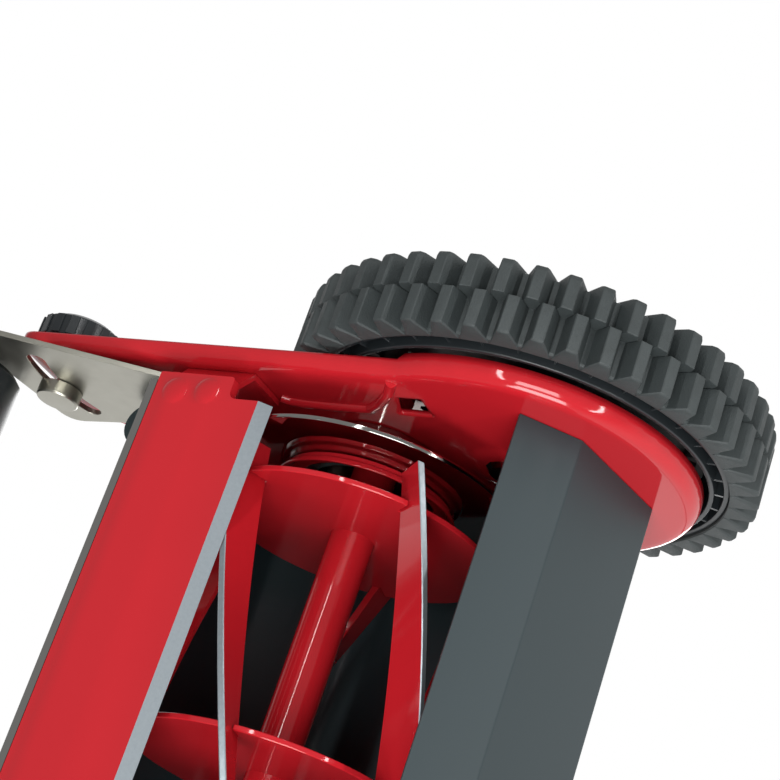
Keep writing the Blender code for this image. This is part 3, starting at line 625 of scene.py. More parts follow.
def ring_of(name, seed, count, centre, slot, first_angle=0.0):
    """Copies of a seed round an axis along X, all in one finish."""
    return grown(name, seed, RING, Count=count, Centre=(0, centre.y, centre.z), First_Angle=first_angle,
                 Finish=FINISHES[slot], Ground_Finish=FINISHES[slot])


print("inputs of the tree:", [item.name for item in RING.interface.items_tree if item.in_out == "INPUT"])

# %% [markdown]
# ## The tyre
# The tread is two rows of lugs, and each row stands half a pitch from the other, so that one lug always
# meets the ground squarely. A lug is a ridge with sloping flanks. At the sidewall its end slopes down and
# widens like the hip of a roof. The lugs could be cut out of a ring with booleans, but they are quicker to
# add than to cut: one lug of each row is built from its cross-sections, and the ring tree makes the rest.

# %% One lug of each row
LUGS = 47
LUG_CROWN, LUG_FOOT = 0.0024, 0.0056
TREAD_DEPTH = 0.0090
GROOVE_RADIUS = WHEEL_RADIUS - TREAD_DEPTH
TYRE_WIDTH, TYRE_SEAT = 0.0330, 0.0923
ROW_SEAM = 0.0162
LUG_EDGE = 0.00035


def lug(stations):
    """A ridge at the wheel's front: stations list (x, crown radius, half crown, foot radius, half foot)."""
    bm = bmesh.new()
    sections = []
    for x, crown, half_crown, foot, half_foot in stations:
        corners = [(foot, -half_foot), (crown, -half_crown), (crown, half_crown), (foot, half_foot)]
        sections.append([bm.verts.new((TYRE_INNER_X + x, radius, side)) for radius, side in corners])
    skinned(bm, sections)
    bm.faces.new(sections[0])
    bm.faces.new(sections[-1])
    edges = [edge for edge in bm.edges if min(vert.co.y for vert in edge.verts) > GROOVE_RADIUS]
    bmesh.ops.bevel(bm, geom=edges, offset=LUG_EDGE, segments=1, affect="EDGES")
    return bm


def lugs():
    """The seeds of the inner and the outer row."""
    crown, foot, hip_foot = WHEEL_RADIUS, GROOVE_RADIUS - 0.0010, TYRE_SEAT + 0.0003
    full = (crown, LUG_CROWN, foot, LUG_FOOT)
    inner = [(-LUG_TIP, crown - 0.0010, 0.0021, hip_foot, 0.0060), (-0.0002, *full), (ROW_SEAM, *full)]
    outer = [(ROW_SEAM + 0.0004, *full), (TYRE_WIDTH - 0.0032, *full),
             (TYRE_WIDTH - 0.0010, crown - 0.0009, LUG_CROWN, foot, LUG_FOOT),
             (TYRE_WIDTH, crown - 0.0035, 0.0026, hip_foot, 0.0060)]
    return lug(inner), lug(outer)


print(f"a lug every {math.tau * WHEEL_RADIUS / LUGS * 1000:.1f} mm round the tread")

# %% Build the tyre
FIRST_LUG = math.radians(-178.7)


def tyre():
    inner_seed, outer_seed = lugs()
    rows = [ring_of("inner", inner_seed, LUGS, AXLE, "tyre_rubber", FIRST_LUG),
            ring_of("outer", outer_seed, LUGS, AXLE, "tyre_rubber", FIRST_LUG + math.pi / LUGS)]
    band = [(-0.0006, TYRE_SEAT), (-0.0004, GROOVE_RADIUS - 0.0006), (0.0006, GROOVE_RADIUS),
            (TYRE_WIDTH - 0.0016, GROOVE_RADIUS), (TYRE_WIDTH - 0.0006, TYRE_SEAT)]
    profile = [(TYRE_INNER_X + x, radius) for x, radius in band]
    carcass = turned("carcass", profile, AXLE, "tyre_rubber", 4 * LUGS)
    return joined("tyre_tread_right", [carcass, *rows])


fit_both(tyre(), "wheel_right", "tyre_rubber", "tyre_right")

# %% [markdown]
# ## The wheel
# A moulded rim carries the tyre on a hoop. Its inner lip runs close round the side plate and keeps grass
# out of the gears, and thin ribs stiffen the groove between the lip and the hoop. The outer face is a flat
# web with spokes. The rim could be modelled as one mesh, but ribs that merely stand in it look the same. So
# each part is made the easy way: the rim is turned, and the ribs and spokes come from the ring tree.

# %% Ribs and spokes
RIB_EDGE = 0.0003


def bar_seed(low, high, half_thickness, slope=0.0):
    """A small rib that stands along the wheel's radius: low and high are (x, radius) corners."""
    bm = bmesh.new()
    for vert in bmesh.ops.create_cube(bm, size=1)["verts"]:
        across, along = vert.co.x + 0.5, vert.co.y + 0.5
        thick = math.copysign(half_thickness * (1 - slope * across), vert.co.z)
        vert.co = Vector((low[0] + across * (high[0] - low[0]), low[1] + along * (high[1] - low[1]), thick))
    bmesh.ops.bevel(bm, geom=bm.edges, offset=RIB_EDGE, segments=1, affect="EDGES")
    return bm


WEB_X = TYRE_INNER_X + 0.0235
GROOVE_RIBS, SPOKES = 36, 12


def ribs_and_spokes():
    rib = bar_seed((TYRE_INNER_X + 0.0010, 0.0855), (TYRE_INNER_X + 0.0095, 0.0898), 0.0005)
    spoke = bar_seed((WEB_X + 0.0030, 0.0180), (WEB_X + 0.0060, 0.0850), 0.0016)
    return [ring_of("groove_ribs", rib, GROOVE_RIBS, AXLE, "black_plastic", 0.03),
            ring_of("spokes", spoke, SPOKES, AXLE, "black_plastic")]


print(GROOVE_RIBS, "ribs in the groove and", SPOKES, "spokes on the web")

# %% Build the rim and the hub cap
LIP_RADIUS, HOOP_RADIUS = 0.0836, 0.0920
BOSS_BORE = 0.0063
HUB_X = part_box("hub_cap_right")[0].x


def rim():
    web = WEB_X - TYRE_INNER_X
    face = web + 0.0035
    section = [
        (0.0005, HOOP_RADIUS), (0.0300, HOOP_RADIUS), (0.0300, 0.0880), (face, 0.0840), (face, 0.0190),
        (web + 0.0047, 0.0180), (web + 0.0047, BOSS_BORE), (0.0140, BOSS_BORE), (0.0140, 0.0140),
        (web, 0.0140), (web, 0.0800), (0.0120, LIP_RADIUS), (-0.0015, LIP_RADIUS),
        (-0.0015, LIP_RADIUS + 0.0022), (0.0090, LIP_RADIUS + 0.0026), (0.0090, 0.0893), (0.0005, 0.0896),
    ]
    profile = [(TYRE_INNER_X + x, radius) for x, radius in section]
    body = turned("rim", profile, AXLE, "black_plastic", 96, edge=0.0006)
    return joined("wheel_rim_moulding_right", [body, *ribs_and_spokes()])


def hub_cap():
    dome = [(0.0025, 0), (0.0022, 0.0125), (0, 0.0130), (0, 0.0165), (0.0022, 0.0160), (0.0036, 0.0120),
            (0.0042, 0.0060), (0.0042, 0)]
    profile = [(HUB_X + x, radius) for x, radius in dome]
    return turned("hub_cap_dome_right", profile, AXLE, "black_plastic", 48, edge=0.0008, closed=False)


fit_both(rim(), "wheel_right", "black_plastic", "wheel_rim_right")
fit_both(hub_cap(), "wheel_right", "black_plastic", "hub_cap_right")

# %% [markdown]
# ## The side plates
# Each side plate is one pressing: a flat cheek with a rolled flange round it, a boss at the axle and a bead
# that stiffens the cheek in front of the knife. A subdivided cage could give such a shape, but it would
# soften the flat parts too. A relief keeps them flat: the cheek is filled with an even net of points, and
# the boss pushes some of them out. The bead is a bar that lies half in the sheet. The flange is a quarter
# round that goes on from the cheek's edge, and Solidify gives the sheet its thickness.

# %% The cheek's outline
NOSE_RADIUS = 0.0820
NOSE_TOP_ANGLE, NOSE_STEPS = 96, 90
TAIL_BOTTOM, TAIL_BACK = -0.079, -0.221
LONGEST_EDGE = 0.005


def spaced(path, longest):
    """The path with points added so that no stretch is longer than this."""
    points = [path[0]]
    for start, end in zip(path, path[1:]):
        parts = max(1, math.ceil(math.dist(start, end) / longest))
        for part in range(1, parts + 1):
            share = part / parts
            points.append((start[0] + (end[0] - start[0]) * share, start[1] + (end[1] - start[1]) * share))
    return points


def cheek_outline():
    """A round nose about the axle, and a tail that reaches back to the roller's brackets."""
    start = math.degrees(math.asin(TAIL_BOTTOM / NOSE_RADIUS))
    nose = arc((0, 0), NOSE_RADIUS, -180 - start, NOSE_TOP_ANGLE, NOSE_STEPS)
    top, back_top, back_bottom = (-0.110, 0.079), (TAIL_BACK, -0.018), (TAIL_BACK, TAIL_BOTTOM)
    tail = rounded([nose[-1], top, back_top, back_bottom, nose[0]], [0, 0.017, 0.013, 0.012, 0], 10)
    return nose[:-1] + spaced(tail, LONGEST_EDGE)[:-1]


print("points round the cheek:", len(cheek_outline()))

# %% Points inside an outline


def inside(point, loop):
    """Whether a point is in a polygon, by counting the edges it lies left of."""
    odd = False
    for (ax, ay), (bx, by) in zip(loop, [*loop[1:], loop[0]]):
        if (ay > point[1]) != (by > point[1]) and point[0] < (bx - ax) * (point[1] - ay) / (by - ay) + ax:
            odd = not odd
    return odd


def clear_of(point, loop, distance):
    """Whether a point keeps this far away from every edge of a polygon."""
    for start, end in zip(loop, [*loop[1:], loop[0]]):
        nearest, share = geometry.intersect_point_line(point, Vector(start), Vector(end))
        nearest = Vector(start) if share < 0 else Vector(end) if share > 1 else nearest
        if (Vector(nearest[:2]) - point).length < distance:
            return False
    return True


def grid_inside(loops, spacing):
    """Grid points inside an outline with holes that keep nearly half a cell away from every edge."""
    xs, ys = [point[0] for point in loops[0]], [point[1] for point in loops[0]]
    found = []
    rise = spacing * math.sqrt(0.75)
    for row in range(int((max(ys) - min(ys)) / rise) + 1):
        for column in range(int((max(xs) - min(xs)) / spacing) + 2):
            point = Vector((min(xs) + (column + row % 2 / 2) * spacing, min(ys) + row * rise))
            if inside(point, loops[0]) and not any(inside(point, hole) for hole in loops[1:]):
                if all(clear_of(point, loop, spacing * 0.45) for loop in loops):
                    found.append(point)
    return found


print("the axle is inside the cheek:", inside((0, 0), cheek_outline()))

# %% Fill an outline
CORNER_TOLERANCE = 1e-7
HULL_TRIANGLES, INNER_TRIANGLES, ONE_FACE = 0, 1, 2  # the kinds of result that the filling can give


def filled(bm, loops, x, spacing=None):
    """Fills an outline in the plane at x, with triangles where it has holes; spacing adds inner points."""
    points, edges = [], []
    for loop in loops:
        first = len(points)
        points += [Vector(point) for point in loop]
        edges += [(first + i, first + (i + 1) % len(loop)) for i in range(len(loop))]
    if spacing:
        points += grid_inside(loops, spacing)
    kind = ONE_FACE if len(loops) == 1 else HULL_TRIANGLES
    flat, _, faces, *_ = geometry.delaunay_2d_cdt(points, edges, [], kind, CORNER_TOLERANCE)
    verts = [bm.verts.new((x, point.x, point.y)) for point in flat]
    made = []
    for face in faces:
        centre = sum((flat[index] for index in face), Vector((0, 0))) / len(face)
        if inside(centre, loops[0]) and not any(inside(centre, hole) for hole in loops[1:]):
            made.append(bm.faces.new([verts[index] for index in face]))
    for vert in [vert for vert in verts if not vert.link_faces]:
        bm.verts.remove(vert)
    return made


print("corners closer than", CORNER_TOLERANCE * 1000, "mm are one corner")

# %% The boss and the bead
BOSS_HEIGHT, BOSS_RADIUS, BOSS_SLOPE = 0.0012, 0.0215, 0.008
BEAD = [(-0.0905, -0.0502), (-0.0870, -0.0478), (-0.0800, -0.0468), (-0.0663, -0.0464), (-0.0474, -0.0468),
        (-0.0395, -0.0531), (-0.0310, -0.0627), (-0.0255, -0.0720)]
BEAD_RADIUS, BEAD_SIDES = 0.0025, 16


def boss_height(point):
    """How far the boss lifts a point of the cheek towards the reel: all of it, or less on its slope."""
    share = min(max((BOSS_RADIUS - point.length) / BOSS_SLOPE, 0.0), 1.0)
    return BOSS_HEIGHT * share * share * (3 - 2 * share)


def rings_along(path, radius, sides):
    """For each point of a flat path, a ring square to it, as (place in the plane, height above it) pairs."""
    rings = []
    angles = [math.tau * side / sides for side in range(sides)]
    for index, here in enumerate(path):
        along = Vector(path[min(index + 1, len(path) - 1)]) - Vector(path[max(index - 1, 0)])
        across = Vector((-along.y, along.x)).normalized() * radius
        rings.append([(Vector(here) + across * math.cos(a), radius * math.sin(a)) for a in angles])
    return rings


def bead():
    """A half-round ridge along the cheek: a bar that lies half in the sheet, with pointed ends."""
    bm = bmesh.new()
    axis_x = PLATE_X + 0.0002
    rings = []
    for ring in rings_along(rounded(BEAD, 0.004, 4, closed=False), BEAD_RADIUS, BEAD_SIDES):
        rings.append([bm.verts.new(from_axle(*point, axis_x - height)) for point, height in ring])
    skinned(bm, rings)
    for ring in (rings[0], rings[-1]):
        tip = bm.verts.new(sum((vert.co for vert in ring), Vector()) / BEAD_SIDES)
        for side in range(BEAD_SIDES):
            bm.faces.new((ring[side], ring[(side + 1) % BEAD_SIDES], tip))
    return piece_from("bead", bm, "red_enamel", smooth=70)


print(f"the boss stands {boss_height(Vector((0, 0))) * 1000:.1f} mm proud")

# %% The rolled flange
BEND, BEND_STEPS = 0.0065, 7
NOSE_FLANGE, TAIL_FLANGE = 0.0097, 0.0075
NOSE_END = -0.021


def moved_in(outline, distance):
    """A closed outline, which runs from forward towards up, moved inwards."""
    moved = []
    for index, point in enumerate(outline):
        here = Vector(point)
        along = (here - Vector(outline[index - 1])).normalized()
        onward = (Vector(outline[(index + 1) % len(outline)]) - here).normalized()
        normals = [Vector((-edge.y, edge.x)) for edge in (along, onward)]
        shift = (normals[0] + normals[1]) / (1 + normals[0].dot(normals[1]))
        moved.append(tuple(here + shift * distance))
    return moved


def flange_rings(outline):
    """Rings of (depth, point) from the flat cheek round the bend to the flange's rim."""
    rings = []
    for step in range(BEND_STEPS + 1):
        angle = math.radians(90 * step / BEND_STEPS)
        depth = BEND * (1 - math.cos(angle))
        rings.append([(depth, point) for point in moved_in(outline, BEND * (1 - math.sin(angle)))])
    rings.append([(NOSE_FLANGE if point[0] > NOSE_END else TAIL_FLANGE, point) for point in outline])
    return rings


print("rings from the cheek to the rim:", len(flange_rings(cheek_outline())))

# %% Build the side plates
WINDOW = [(-0.0285, -0.0590), (-0.0176, -0.0590), (-0.0180, -0.0447), (-0.0338, -0.0447)]
WINDOW_CORNER = 0.0012
NET_SPACING = 0.0022
NET_SEAM = 2e-5


def side_plate():
    outline = cheek_outline()
    bm = bmesh.new()
    filled(bm, [moved_in(outline, BEND), rounded(WINDOW, WINDOW_CORNER)], PLATE_X, spacing=NET_SPACING)
    for vert in bm.verts:
        vert.co.x -= boss_height(vert.co.yz)
    skinned(bm, [[bm.verts.new((PLATE_X + depth, *point)) for depth, point in ring]
                 for ring in flange_rings(outline)])
    bmesh.ops.translate(bm, verts=bm.verts, vec=(0, AXLE.y, AXLE.z))
    bmesh.ops.remove_doubles(bm, verts=bm.verts, dist=NET_SEAM)
    bmesh.ops.recalc_face_normals(bm, faces=bm.faces)
    facing_reel = min(bm.faces, key=lambda face: (face.calc_center_median() - REEL.xyz).yz.length)
    if facing_reel.normal.x > 0:
        bmesh.ops.reverse_faces(bm, faces=bm.faces)
    obj = piece_from("side_plate_pressing_right", bm, "red_enamel", smooth=60, outward=False)
    wall = obj.modifiers.new("sheet", "SOLIDIFY")
    wall.thickness = SHEET
    wall.offset = -1
    return joined("side_plate_pressing_right", [settle(obj), bead()])


fit_both(side_plate(), "frame", "red_enamel", "side_plate_right")

# %% [markdown]
# ## The reel
# The blades are strips on edge, wound round the shaft so that each cuts a little at a time. A Simple Deform
# modifier could twist a strip, but its angle counts over the whole length of the mesh. A second tree takes
# the twist for each metre, which the notches in the discs need too. It turns each point of a straight strip
# about the shaft in step with its place across the mower, and hands the strip to the ring tree for the
# other blades.

# %% The winding tree


def winding_tree():
    tree, start, end = geometry_tree("wound strip", [
        ("Twist", "NodeSocketFloat"), ("Start", "NodeSocketFloat"), ("Count", "NodeSocketInt"),
        ("Centre", "NodeSocketVector"), ("Finish", "NodeSocketMaterial"),
        ("Ground Finish", "NodeSocketMaterial")])
    nodes, links = tree.nodes, tree.links
    where = nodes.new("GeometryNodeInputPosition")
    split = nodes.new("ShaderNodeSeparateXYZ")
    links.new(where.outputs[0], split.inputs[0])
    angle = maths(tree, "MULTIPLY", split.outputs["X"], start.outputs["Twist"])
    angle = maths(tree, "ADD", angle, start.outputs["Start"])
    turn = nodes.new("ShaderNodeVectorRotate")
    turn.rotation_type = "X_AXIS"
    links.new(where.outputs[0], turn.inputs["Vector"])
    links.new(angle, turn.inputs["Angle"])
    wind = nodes.new("GeometryNodeSetPosition")
    links.new(start.outputs["Geometry"], wind.inputs["Geometry"])
    links.new(turn.outputs[0], wind.inputs["Position"])
    ring = nodes.new("GeometryNodeGroup")
    ring.node_tree = RING
    links.new(wind.outputs[0], ring.inputs["Geometry"])
    for title in ("Count", "Centre", "Finish", "Ground Finish"):
        links.new(start.outputs[title], ring.inputs[title])
    links.new(ring.outputs[0], end.inputs["Geometry"])
    return tree


WOUND = winding_tree()
print("the winding tree has", len(WOUND.nodes), "nodes")

# %% Build the blades
BLADES = 5
BLADE_OUTER, BLADE_INNER, BLADE_THICK = 0.0726, 0.0534, 0.0030
BLADE_CHAMFER, BLADE_STEPS = 0.0004, 90
BLADE_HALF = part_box("reel_blade_1")[1].x
TWIST = math.radians(-311.5)  # for each metre across the mower
BLADE_START = math.radians(11.97)


def blade_strip():
    """A straight strip that stands forward of the shaft; its outer edge is marked as ground."""
    half, shoulder = BLADE_THICK / 2, BLADE_OUTER - BLADE_CHAMFER
    section = [(BLADE_INNER, -half), (shoulder, -half), (BLADE_OUTER, -half + BLADE_CHAMFER),
               (BLADE_OUTER, half - BLADE_CHAMFER), (shoulder, half), (BLADE_INNER, half)]
    edge_faces = (1, 2, 3)
    bm = bmesh.new()
    ground = bm.faces.layers.bool.new("ground")
    rows = []
    for step in range(BLADE_STEPS + 1):
        x = BLADE_HALF * (2 * step / BLADE_STEPS - 1)
        rows.append([bm.verts.new((x, radius, side)) for radius, side in section])
    for number, face in enumerate(skinned(bm, rows)):
        face[ground] = number % len(section) in edge_faces
    bm.faces.new(rows[0])
    bm.faces.new(rows[-1])
    return bm


blades = grown("reel_blades_wound", blade_strip(), WOUND, smooth=25, Twist=TWIST, Start=BLADE_START,
               Count=BLADES, Centre=(0, REEL.y, REEL.z), Finish=FINISHES["red_enamel"],
               Ground_Finish=FINISHES["ground_steel"])
fit(blades, "reel", "red_enamel", *[f"reel_blade_{number}" for number in range(1, BLADES + 1)])

# %% [markdown]
# ## Discs and shaft
# Four discs punched from plate carry the blades in notches. They could be cylinders with the notches cut
# out by booleans, but a plain outline does the same with clean edges: it goes round the disc, with a notch
# where the winding brings each blade, and is filled and drawn out to the plate's thickness. The shaft is
# turned.

# %% Cut from plate
BREAK_ANGLE = math.radians(40)


def cut_plate(name, loops, low_x, high_x, slot, edge):
    """A flat piece cut from plate between two X planes, with its edges broken."""
    bm = bmesh.new()
    faces = filled(bm, loops, low_x)
    raised = bmesh.ops.extrude_face_region(bm, geom=faces, use_keep_orig=True)
    top = [item for item in raised["geom"] if isinstance(item, bmesh.types.BMVert)]
    bmesh.ops.translate(bm, verts=top, vec=(high_x - low_x, 0, 0))
    bmesh.ops.dissolve_limit(bm, angle_limit=math.radians(1), verts=bm.verts, edges=bm.edges)
    obj = piece_from(name, bm, slot)
    bevel = obj.modifiers.new("broken edge", "BEVEL")
    bevel.width = edge
    bevel.segments = 2
    bevel.limit_method = "ANGLE"
    bevel.angle_limit = BREAK_ANGLE
    return settle(obj)


print("edges sharper than", round(math.degrees(BREAK_ANGLE)), "degrees are broken")

# %% Build the discs and the shaft
DISCS = 4
DISC_RADIUS = 0.0627
NOTCH_FLOOR, NOTCH_HALF = BLADE_INNER - 0.0005, BLADE_THICK / 2 + 0.0006
TUBE_RADIUS, STUB_RADIUS = 0.0099, 0.0060


def disc_outline(x):
    """A round disc with a notch where each blade passes."""
    mouth, bottom = math.asin(NOTCH_HALF / DISC_RADIUS), math.asin(NOTCH_HALF / NOTCH_FLOOR)
    outline = []
    for blade in range(BLADES):
        centre = BLADE_START + TWIST * x + math.tau * blade / BLADES
        corners = ((DISC_RADIUS, -mouth), (NOTCH_FLOOR, -bottom), (NOTCH_FLOOR, bottom))
        outline += [(radius * math.cos(centre + turn), radius * math.sin(centre + turn))
                    for radius, turn in corners]
        first, last = math.degrees(centre + mouth), math.degrees(centre - mouth) + 360 / BLADES
        outline += arc((0, 0), DISC_RADIUS, first, last, 24)[:-1]
    return [(REEL.y + y, REEL.z + z) for y, z in outline]


def discs():
    made = []
    for number in range(1, DISCS + 1):
        low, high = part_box(f"reel_disc_{number}")
        outline = disc_outline((low.x + high.x) / 2)
        made.append(cut_plate(f"disc_{number}", [outline], low.x, high.x, "red_enamel", edge=0.0005))
    return joined("reel_discs_pressed", made)


def shaft():
    low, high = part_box("reel_shaft")
    shoulder = PLATE_X - 0.0044
    right = [(shoulder, TUBE_RADIUS), (shoulder, STUB_RADIUS), (high.x, STUB_RADIUS), (high.x, 0)]
    left = [(low.x, 0), (low.x, STUB_RADIUS), (-shoulder, STUB_RADIUS), (-shoulder, TUBE_RADIUS)]
    return turned("reel_tube", left + right, REEL, "red_enamel", 64, edge=0.0008, closed=False)


fit(discs(), "reel", "red_enamel", *[f"reel_disc_{number}" for number in range(1, DISCS + 1)])
fit(shaft(), "reel", "red_enamel", "reel_shaft")

# %% [markdown]
# ## The reel's end
# Between reel and side plate stands a bright fixed shield, and on it a stepped bell that covers the
# bearing. A cylinder edited by hand would do for the shield, but not for the bell, whose steps need
# generous radii, because those are what catch the light. Both are turned.

# %% Build the shield and the bell
SHIELD_RADIUS, SHIELD_BORE, SHIELD_COLLAR = 0.0662, 0.0243, 0.0270
SHIELD_BACK = SHIELD_X + 0.0020


def shield():
    collar_end = PLATE_X - PLAY
    profile = [(collar_end, SHIELD_BORE), (collar_end, SHIELD_COLLAR), (SHIELD_BACK, SHIELD_COLLAR),
               (SHIELD_BACK, SHIELD_RADIUS), (SHIELD_X, SHIELD_RADIUS), (SHIELD_X, SHIELD_BORE)]
    return turned("end_shield_disc_right", profile, REEL, "bright_steel", 128, edge=0.0004)


def bell():
    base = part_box("bearing_cover_right")[1].x
    outer = [(0, 0.0300), (0, 0.0378), (-0.0024, 0.0382), (-0.0032, 0.0402), (-0.0058, 0.0412)]
    inner = [(-0.0058, 0.0398), (-0.0042, 0.0388), (-0.0034, 0.0366), (-0.0016, 0.0362), (-0.0016, 0.0300)]
    profile = [(base + x, radius) for x, radius in outer + inner]
    return turned("bearing_bell_right", profile, REEL, "red_enamel", 96, edge=0.0010, smooth=70)


fit_both(shield(), "frame", "bright_steel", "end_shield_right")
fit_both(bell(), "frame", "red_enamel", "bearing_cover_right")

# %% [markdown]
# ## The bed knife
# The knife is a flat plate whose front edge is ground back underneath to bare steel. Each ear carries two
# round bumps that stand out underneath. The bumps could be separate domes, but then a seam would show round
# each. So the underside is filled round rings of points, and the rings are lowered to the bump's round
# profile.

# %% The knife's outline and bumps
KNIFE_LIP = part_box("bed_knife")[1].y - AXLE.y
KNIFE_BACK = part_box("bed_knife")[0].y - AXLE.y
KNIFE_BEVEL = 0.0050
KNIFE_HALF, KNIFE_EAR = 0.1889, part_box("bed_knife")[1].x
KNIFE_EAR_FRONT = -0.0914
BUMPS = [(0.1903, -0.1190), (0.1914, -0.1030)]
BUMP_RADIUS, BUMP_SIDES = 0.0060, 28
BUMP_PROFILE = [(1.08, 0), (1.0, 0.0002), (0.85, 0.0007), (0.6, 0.0011), (0.3, 0.0013), (0, 0.0013)]


def knife_outline(lip):
    right = [(KNIFE_HALF, lip), (KNIFE_HALF, KNIFE_EAR_FRONT), (KNIFE_EAR, KNIFE_EAR_FRONT),
             (KNIFE_EAR, KNIFE_BACK)]
    corners = right + [(-x, forward) for x, forward in reversed(right)]
    radii = [0, 0.0040, 0.0020, 0.0010]
    return rounded(corners, radii + radii[::-1], 5)


def circle(centre, radius, sides):
    return arc(centre, radius, 0, 360 * (1 - 1 / sides), sides - 1)


def knife_bumps():
    """The points of every bump, and how far each stands out."""
    heights = {}
    for x, forward in BUMPS + [(-x, forward) for x, forward in BUMPS]:
        for share, height in BUMP_PROFILE:
            for point in circle((x, forward), BUMP_RADIUS * share, BUMP_SIDES) if share else [(x, forward)]:
                heights[point] = height
    return heights


print("points in the bumps:", len(knife_bumps()))

# %% Build the knife
FINE_TOLERANCE = 1e-8


def bed_knife():
    low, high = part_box("bed_knife")
    under, over = knife_outline(KNIFE_LIP - KNIFE_BEVEL), knife_outline(KNIFE_LIP)
    bumps = knife_bumps()
    stands_out = {(round(x, 6), round(forward, 6)): height for (x, forward), height in bumps.items()}
    points = [Vector(point) for point in [*under, *bumps]]
    edges = [(index, (index + 1) % len(under)) for index in range(len(under))]
    flat, _, faces, *_ = geometry.delaunay_2d_cdt(points, edges, [], INNER_TRIANGLES, FINE_TOLERANCE)
    bm = bmesh.new()
    lower = []
    for point in flat:
        height = stands_out.get((round(point.x, 6), round(point.y, 6)), 0)
        lower.append(bm.verts.new((point.x, AXLE.y + point.y, low.z - height)))
    for face in faces:
        bm.faces.new([lower[index] for index in face])
    upper = [bm.verts.new((x, AXLE.y + forward, high.z)) for x, forward in over]
    bm.faces.new(upper)
    for index, face in enumerate(skinned(bm, [lower[:len(under)], upper])):
        nearest = min(under[index][1], under[(index + 1) % len(under)][1])
        face.material_index = 1 if nearest > KNIFE_LIP - KNIFE_BEVEL - 0.0001 else 0
    obj = piece_from("bed_knife_plate", bm, "red_enamel", smooth=30)
    obj.data.materials.append(FINISHES["ground_steel"])
    return obj


fit(bed_knife(), "frame", "red_enamel", "bed_knife")

# %% [markdown]
# ## Covers
# The deflector in front and the hood over the reel are folded from thin painted sheet. A plane with
# Solidify could be folded too, but every fold would then need a bevel. Here the outer line is rounded at
# the folds, as a press brake leaves it, the inner line follows at the sheet's thickness, and both are drawn
# out across.

# %% Fold a sheet
COVER_SHEET = 0.0015
COVER_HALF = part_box("top_cover")[1].x


def inner_line(path, thickness):
    """The line that keeps a thickness to the left of an open path."""
    inner = []
    for index, here in enumerate(path):
        before = (here - path[max(index - 1, 0)]).normalized()
        after = (path[min(index + 1, len(path) - 1)] - here).normalized()
        before = before if before.length else after
        after = after if after.length else before
        normals = [Vector((-edge.y, edge.x)) for edge in (before, after)]
        inner.append(here + (normals[0] + normals[1]) / (1 + normals[0].dot(normals[1])) * thickness)
    return inner


def folded_sheet(name, path, slot, fold=0.0025):
    """A cover folded along X: path is its outer line, and the sheet lies on its left."""
    path = [Vector(point) for point in rounded(path, fold, steps=5, closed=False)]
    points = [from_axle(*point) for point in path + inner_line(path, COVER_SHEET)[::-1]]
    bm = bmesh.new()
    ends = [[bm.verts.new((x, point.y, point.z)) for point in points] for x in (-COVER_HALF, COVER_HALF)]
    skinned(bm, ends)
    last = len(points) - 1
    for end in ends:
        for index in range(len(path) - 1):
            bm.faces.new((end[index], end[index + 1], end[last - 1 - index], end[last - index]))
    return piece_from(name, bm, slot, smooth=50)


print(f"the covers are {2 * COVER_HALF * 1000:.0f} mm wide")

# %% Build the covers
DEFLECTOR = [(0.027, -0.055), (0.0475, -0.0356), (0.058, 0.0236), (0.0455, 0.0360)]
HOOD = [(0.0530, 0.0317), (0.0130, 0.0715), (-0.0960, 0.0765), (-0.1330, 0.0450), (-0.1458, -0.0080)]

fit(folded_sheet("deflector_sheet", DEFLECTOR, "grey_paint"), "frame", "grey_paint", "front_deflector")
fit(folded_sheet("hood_sheet", HOOD, "grey_paint", fold=0.008), "frame", "grey_paint", "top_cover")

# %% [markdown]
# ## The roller's brackets
# The roller sets the cutting height. Its zinc plated brackets swing on a pin, and a curved slot slides past
# a clamp bolt. The slot could be cut by a boolean, but as a second loop in the outline it comes out
# cleaner: its long sides are arcs about the pin, and its ends are half circles as wide as the slot.

# %% The bracket's outline and slot
SLOT_HALF, SLOT_STEPS = 0.0046, 16
SLOT_LOW, SLOT_HIGH = 196.5, 157.5


def bracket_outline():
    pin, axle = place(BRACKET_PIN), place(ROLLER)
    return [
        *arc(pin, 0.0125, 290, 470, 20),
        *rounded([(-0.140, -0.050), (-0.158, -0.052), (-0.172, -0.050)], 0.006, 6, closed=False)[1:-1],
        *rounded([(-0.172, -0.050), (-0.172, -0.028), (-0.202, -0.0215)], 0.005, 6, closed=False)[1:-1],
        *rounded([(-0.190, -0.0245), (-0.220, -0.023), (-0.226, -0.067)], 0.010, 8, closed=False)[1:-1],
        (-0.2270, -0.0665),
        *arc(axle, 0.0130, 60, 250, 24),
        *rounded([(-0.250, -0.087), (-0.212, -0.103), (-0.133, -0.0738)], 0.012, 8, closed=False)[1:-1],
    ]


def bracket_slot():
    """The slot that the clamp bolt slides in, a band about the pivot pin."""
    pin = place(BRACKET_PIN)
    reach = math.dist(place(CLAMP), pin)
    low_end = arc(pin, reach, SLOT_LOW, SLOT_LOW, 1)[0]
    high_end = arc(pin, reach, SLOT_HIGH, SLOT_HIGH, 1)[0]
    return [
        *arc(pin, reach + SLOT_HALF, SLOT_HIGH, SLOT_LOW, SLOT_STEPS),
        *arc(low_end, SLOT_HALF, SLOT_LOW, SLOT_LOW + 180, 10)[1:-1],
        *arc(pin, reach - SLOT_HALF, SLOT_LOW, SLOT_HIGH, SLOT_STEPS),
        *arc(high_end, SLOT_HALF, SLOT_HIGH + 180, SLOT_HIGH + 360, 10)[1:-1],
    ]


print("points round the bracket:", len(bracket_outline()), "and round its slot:", len(bracket_slot()))

# %% Build the brackets, their pins and their bolts
BRACKET_LOW, BRACKET_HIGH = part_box("roller_bracket_right")[0].x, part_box("roller_bracket_right")[1].x
HEAD_FACE = BRACKET_LOW - PLAY
SHANK_RADIUS = 0.0040


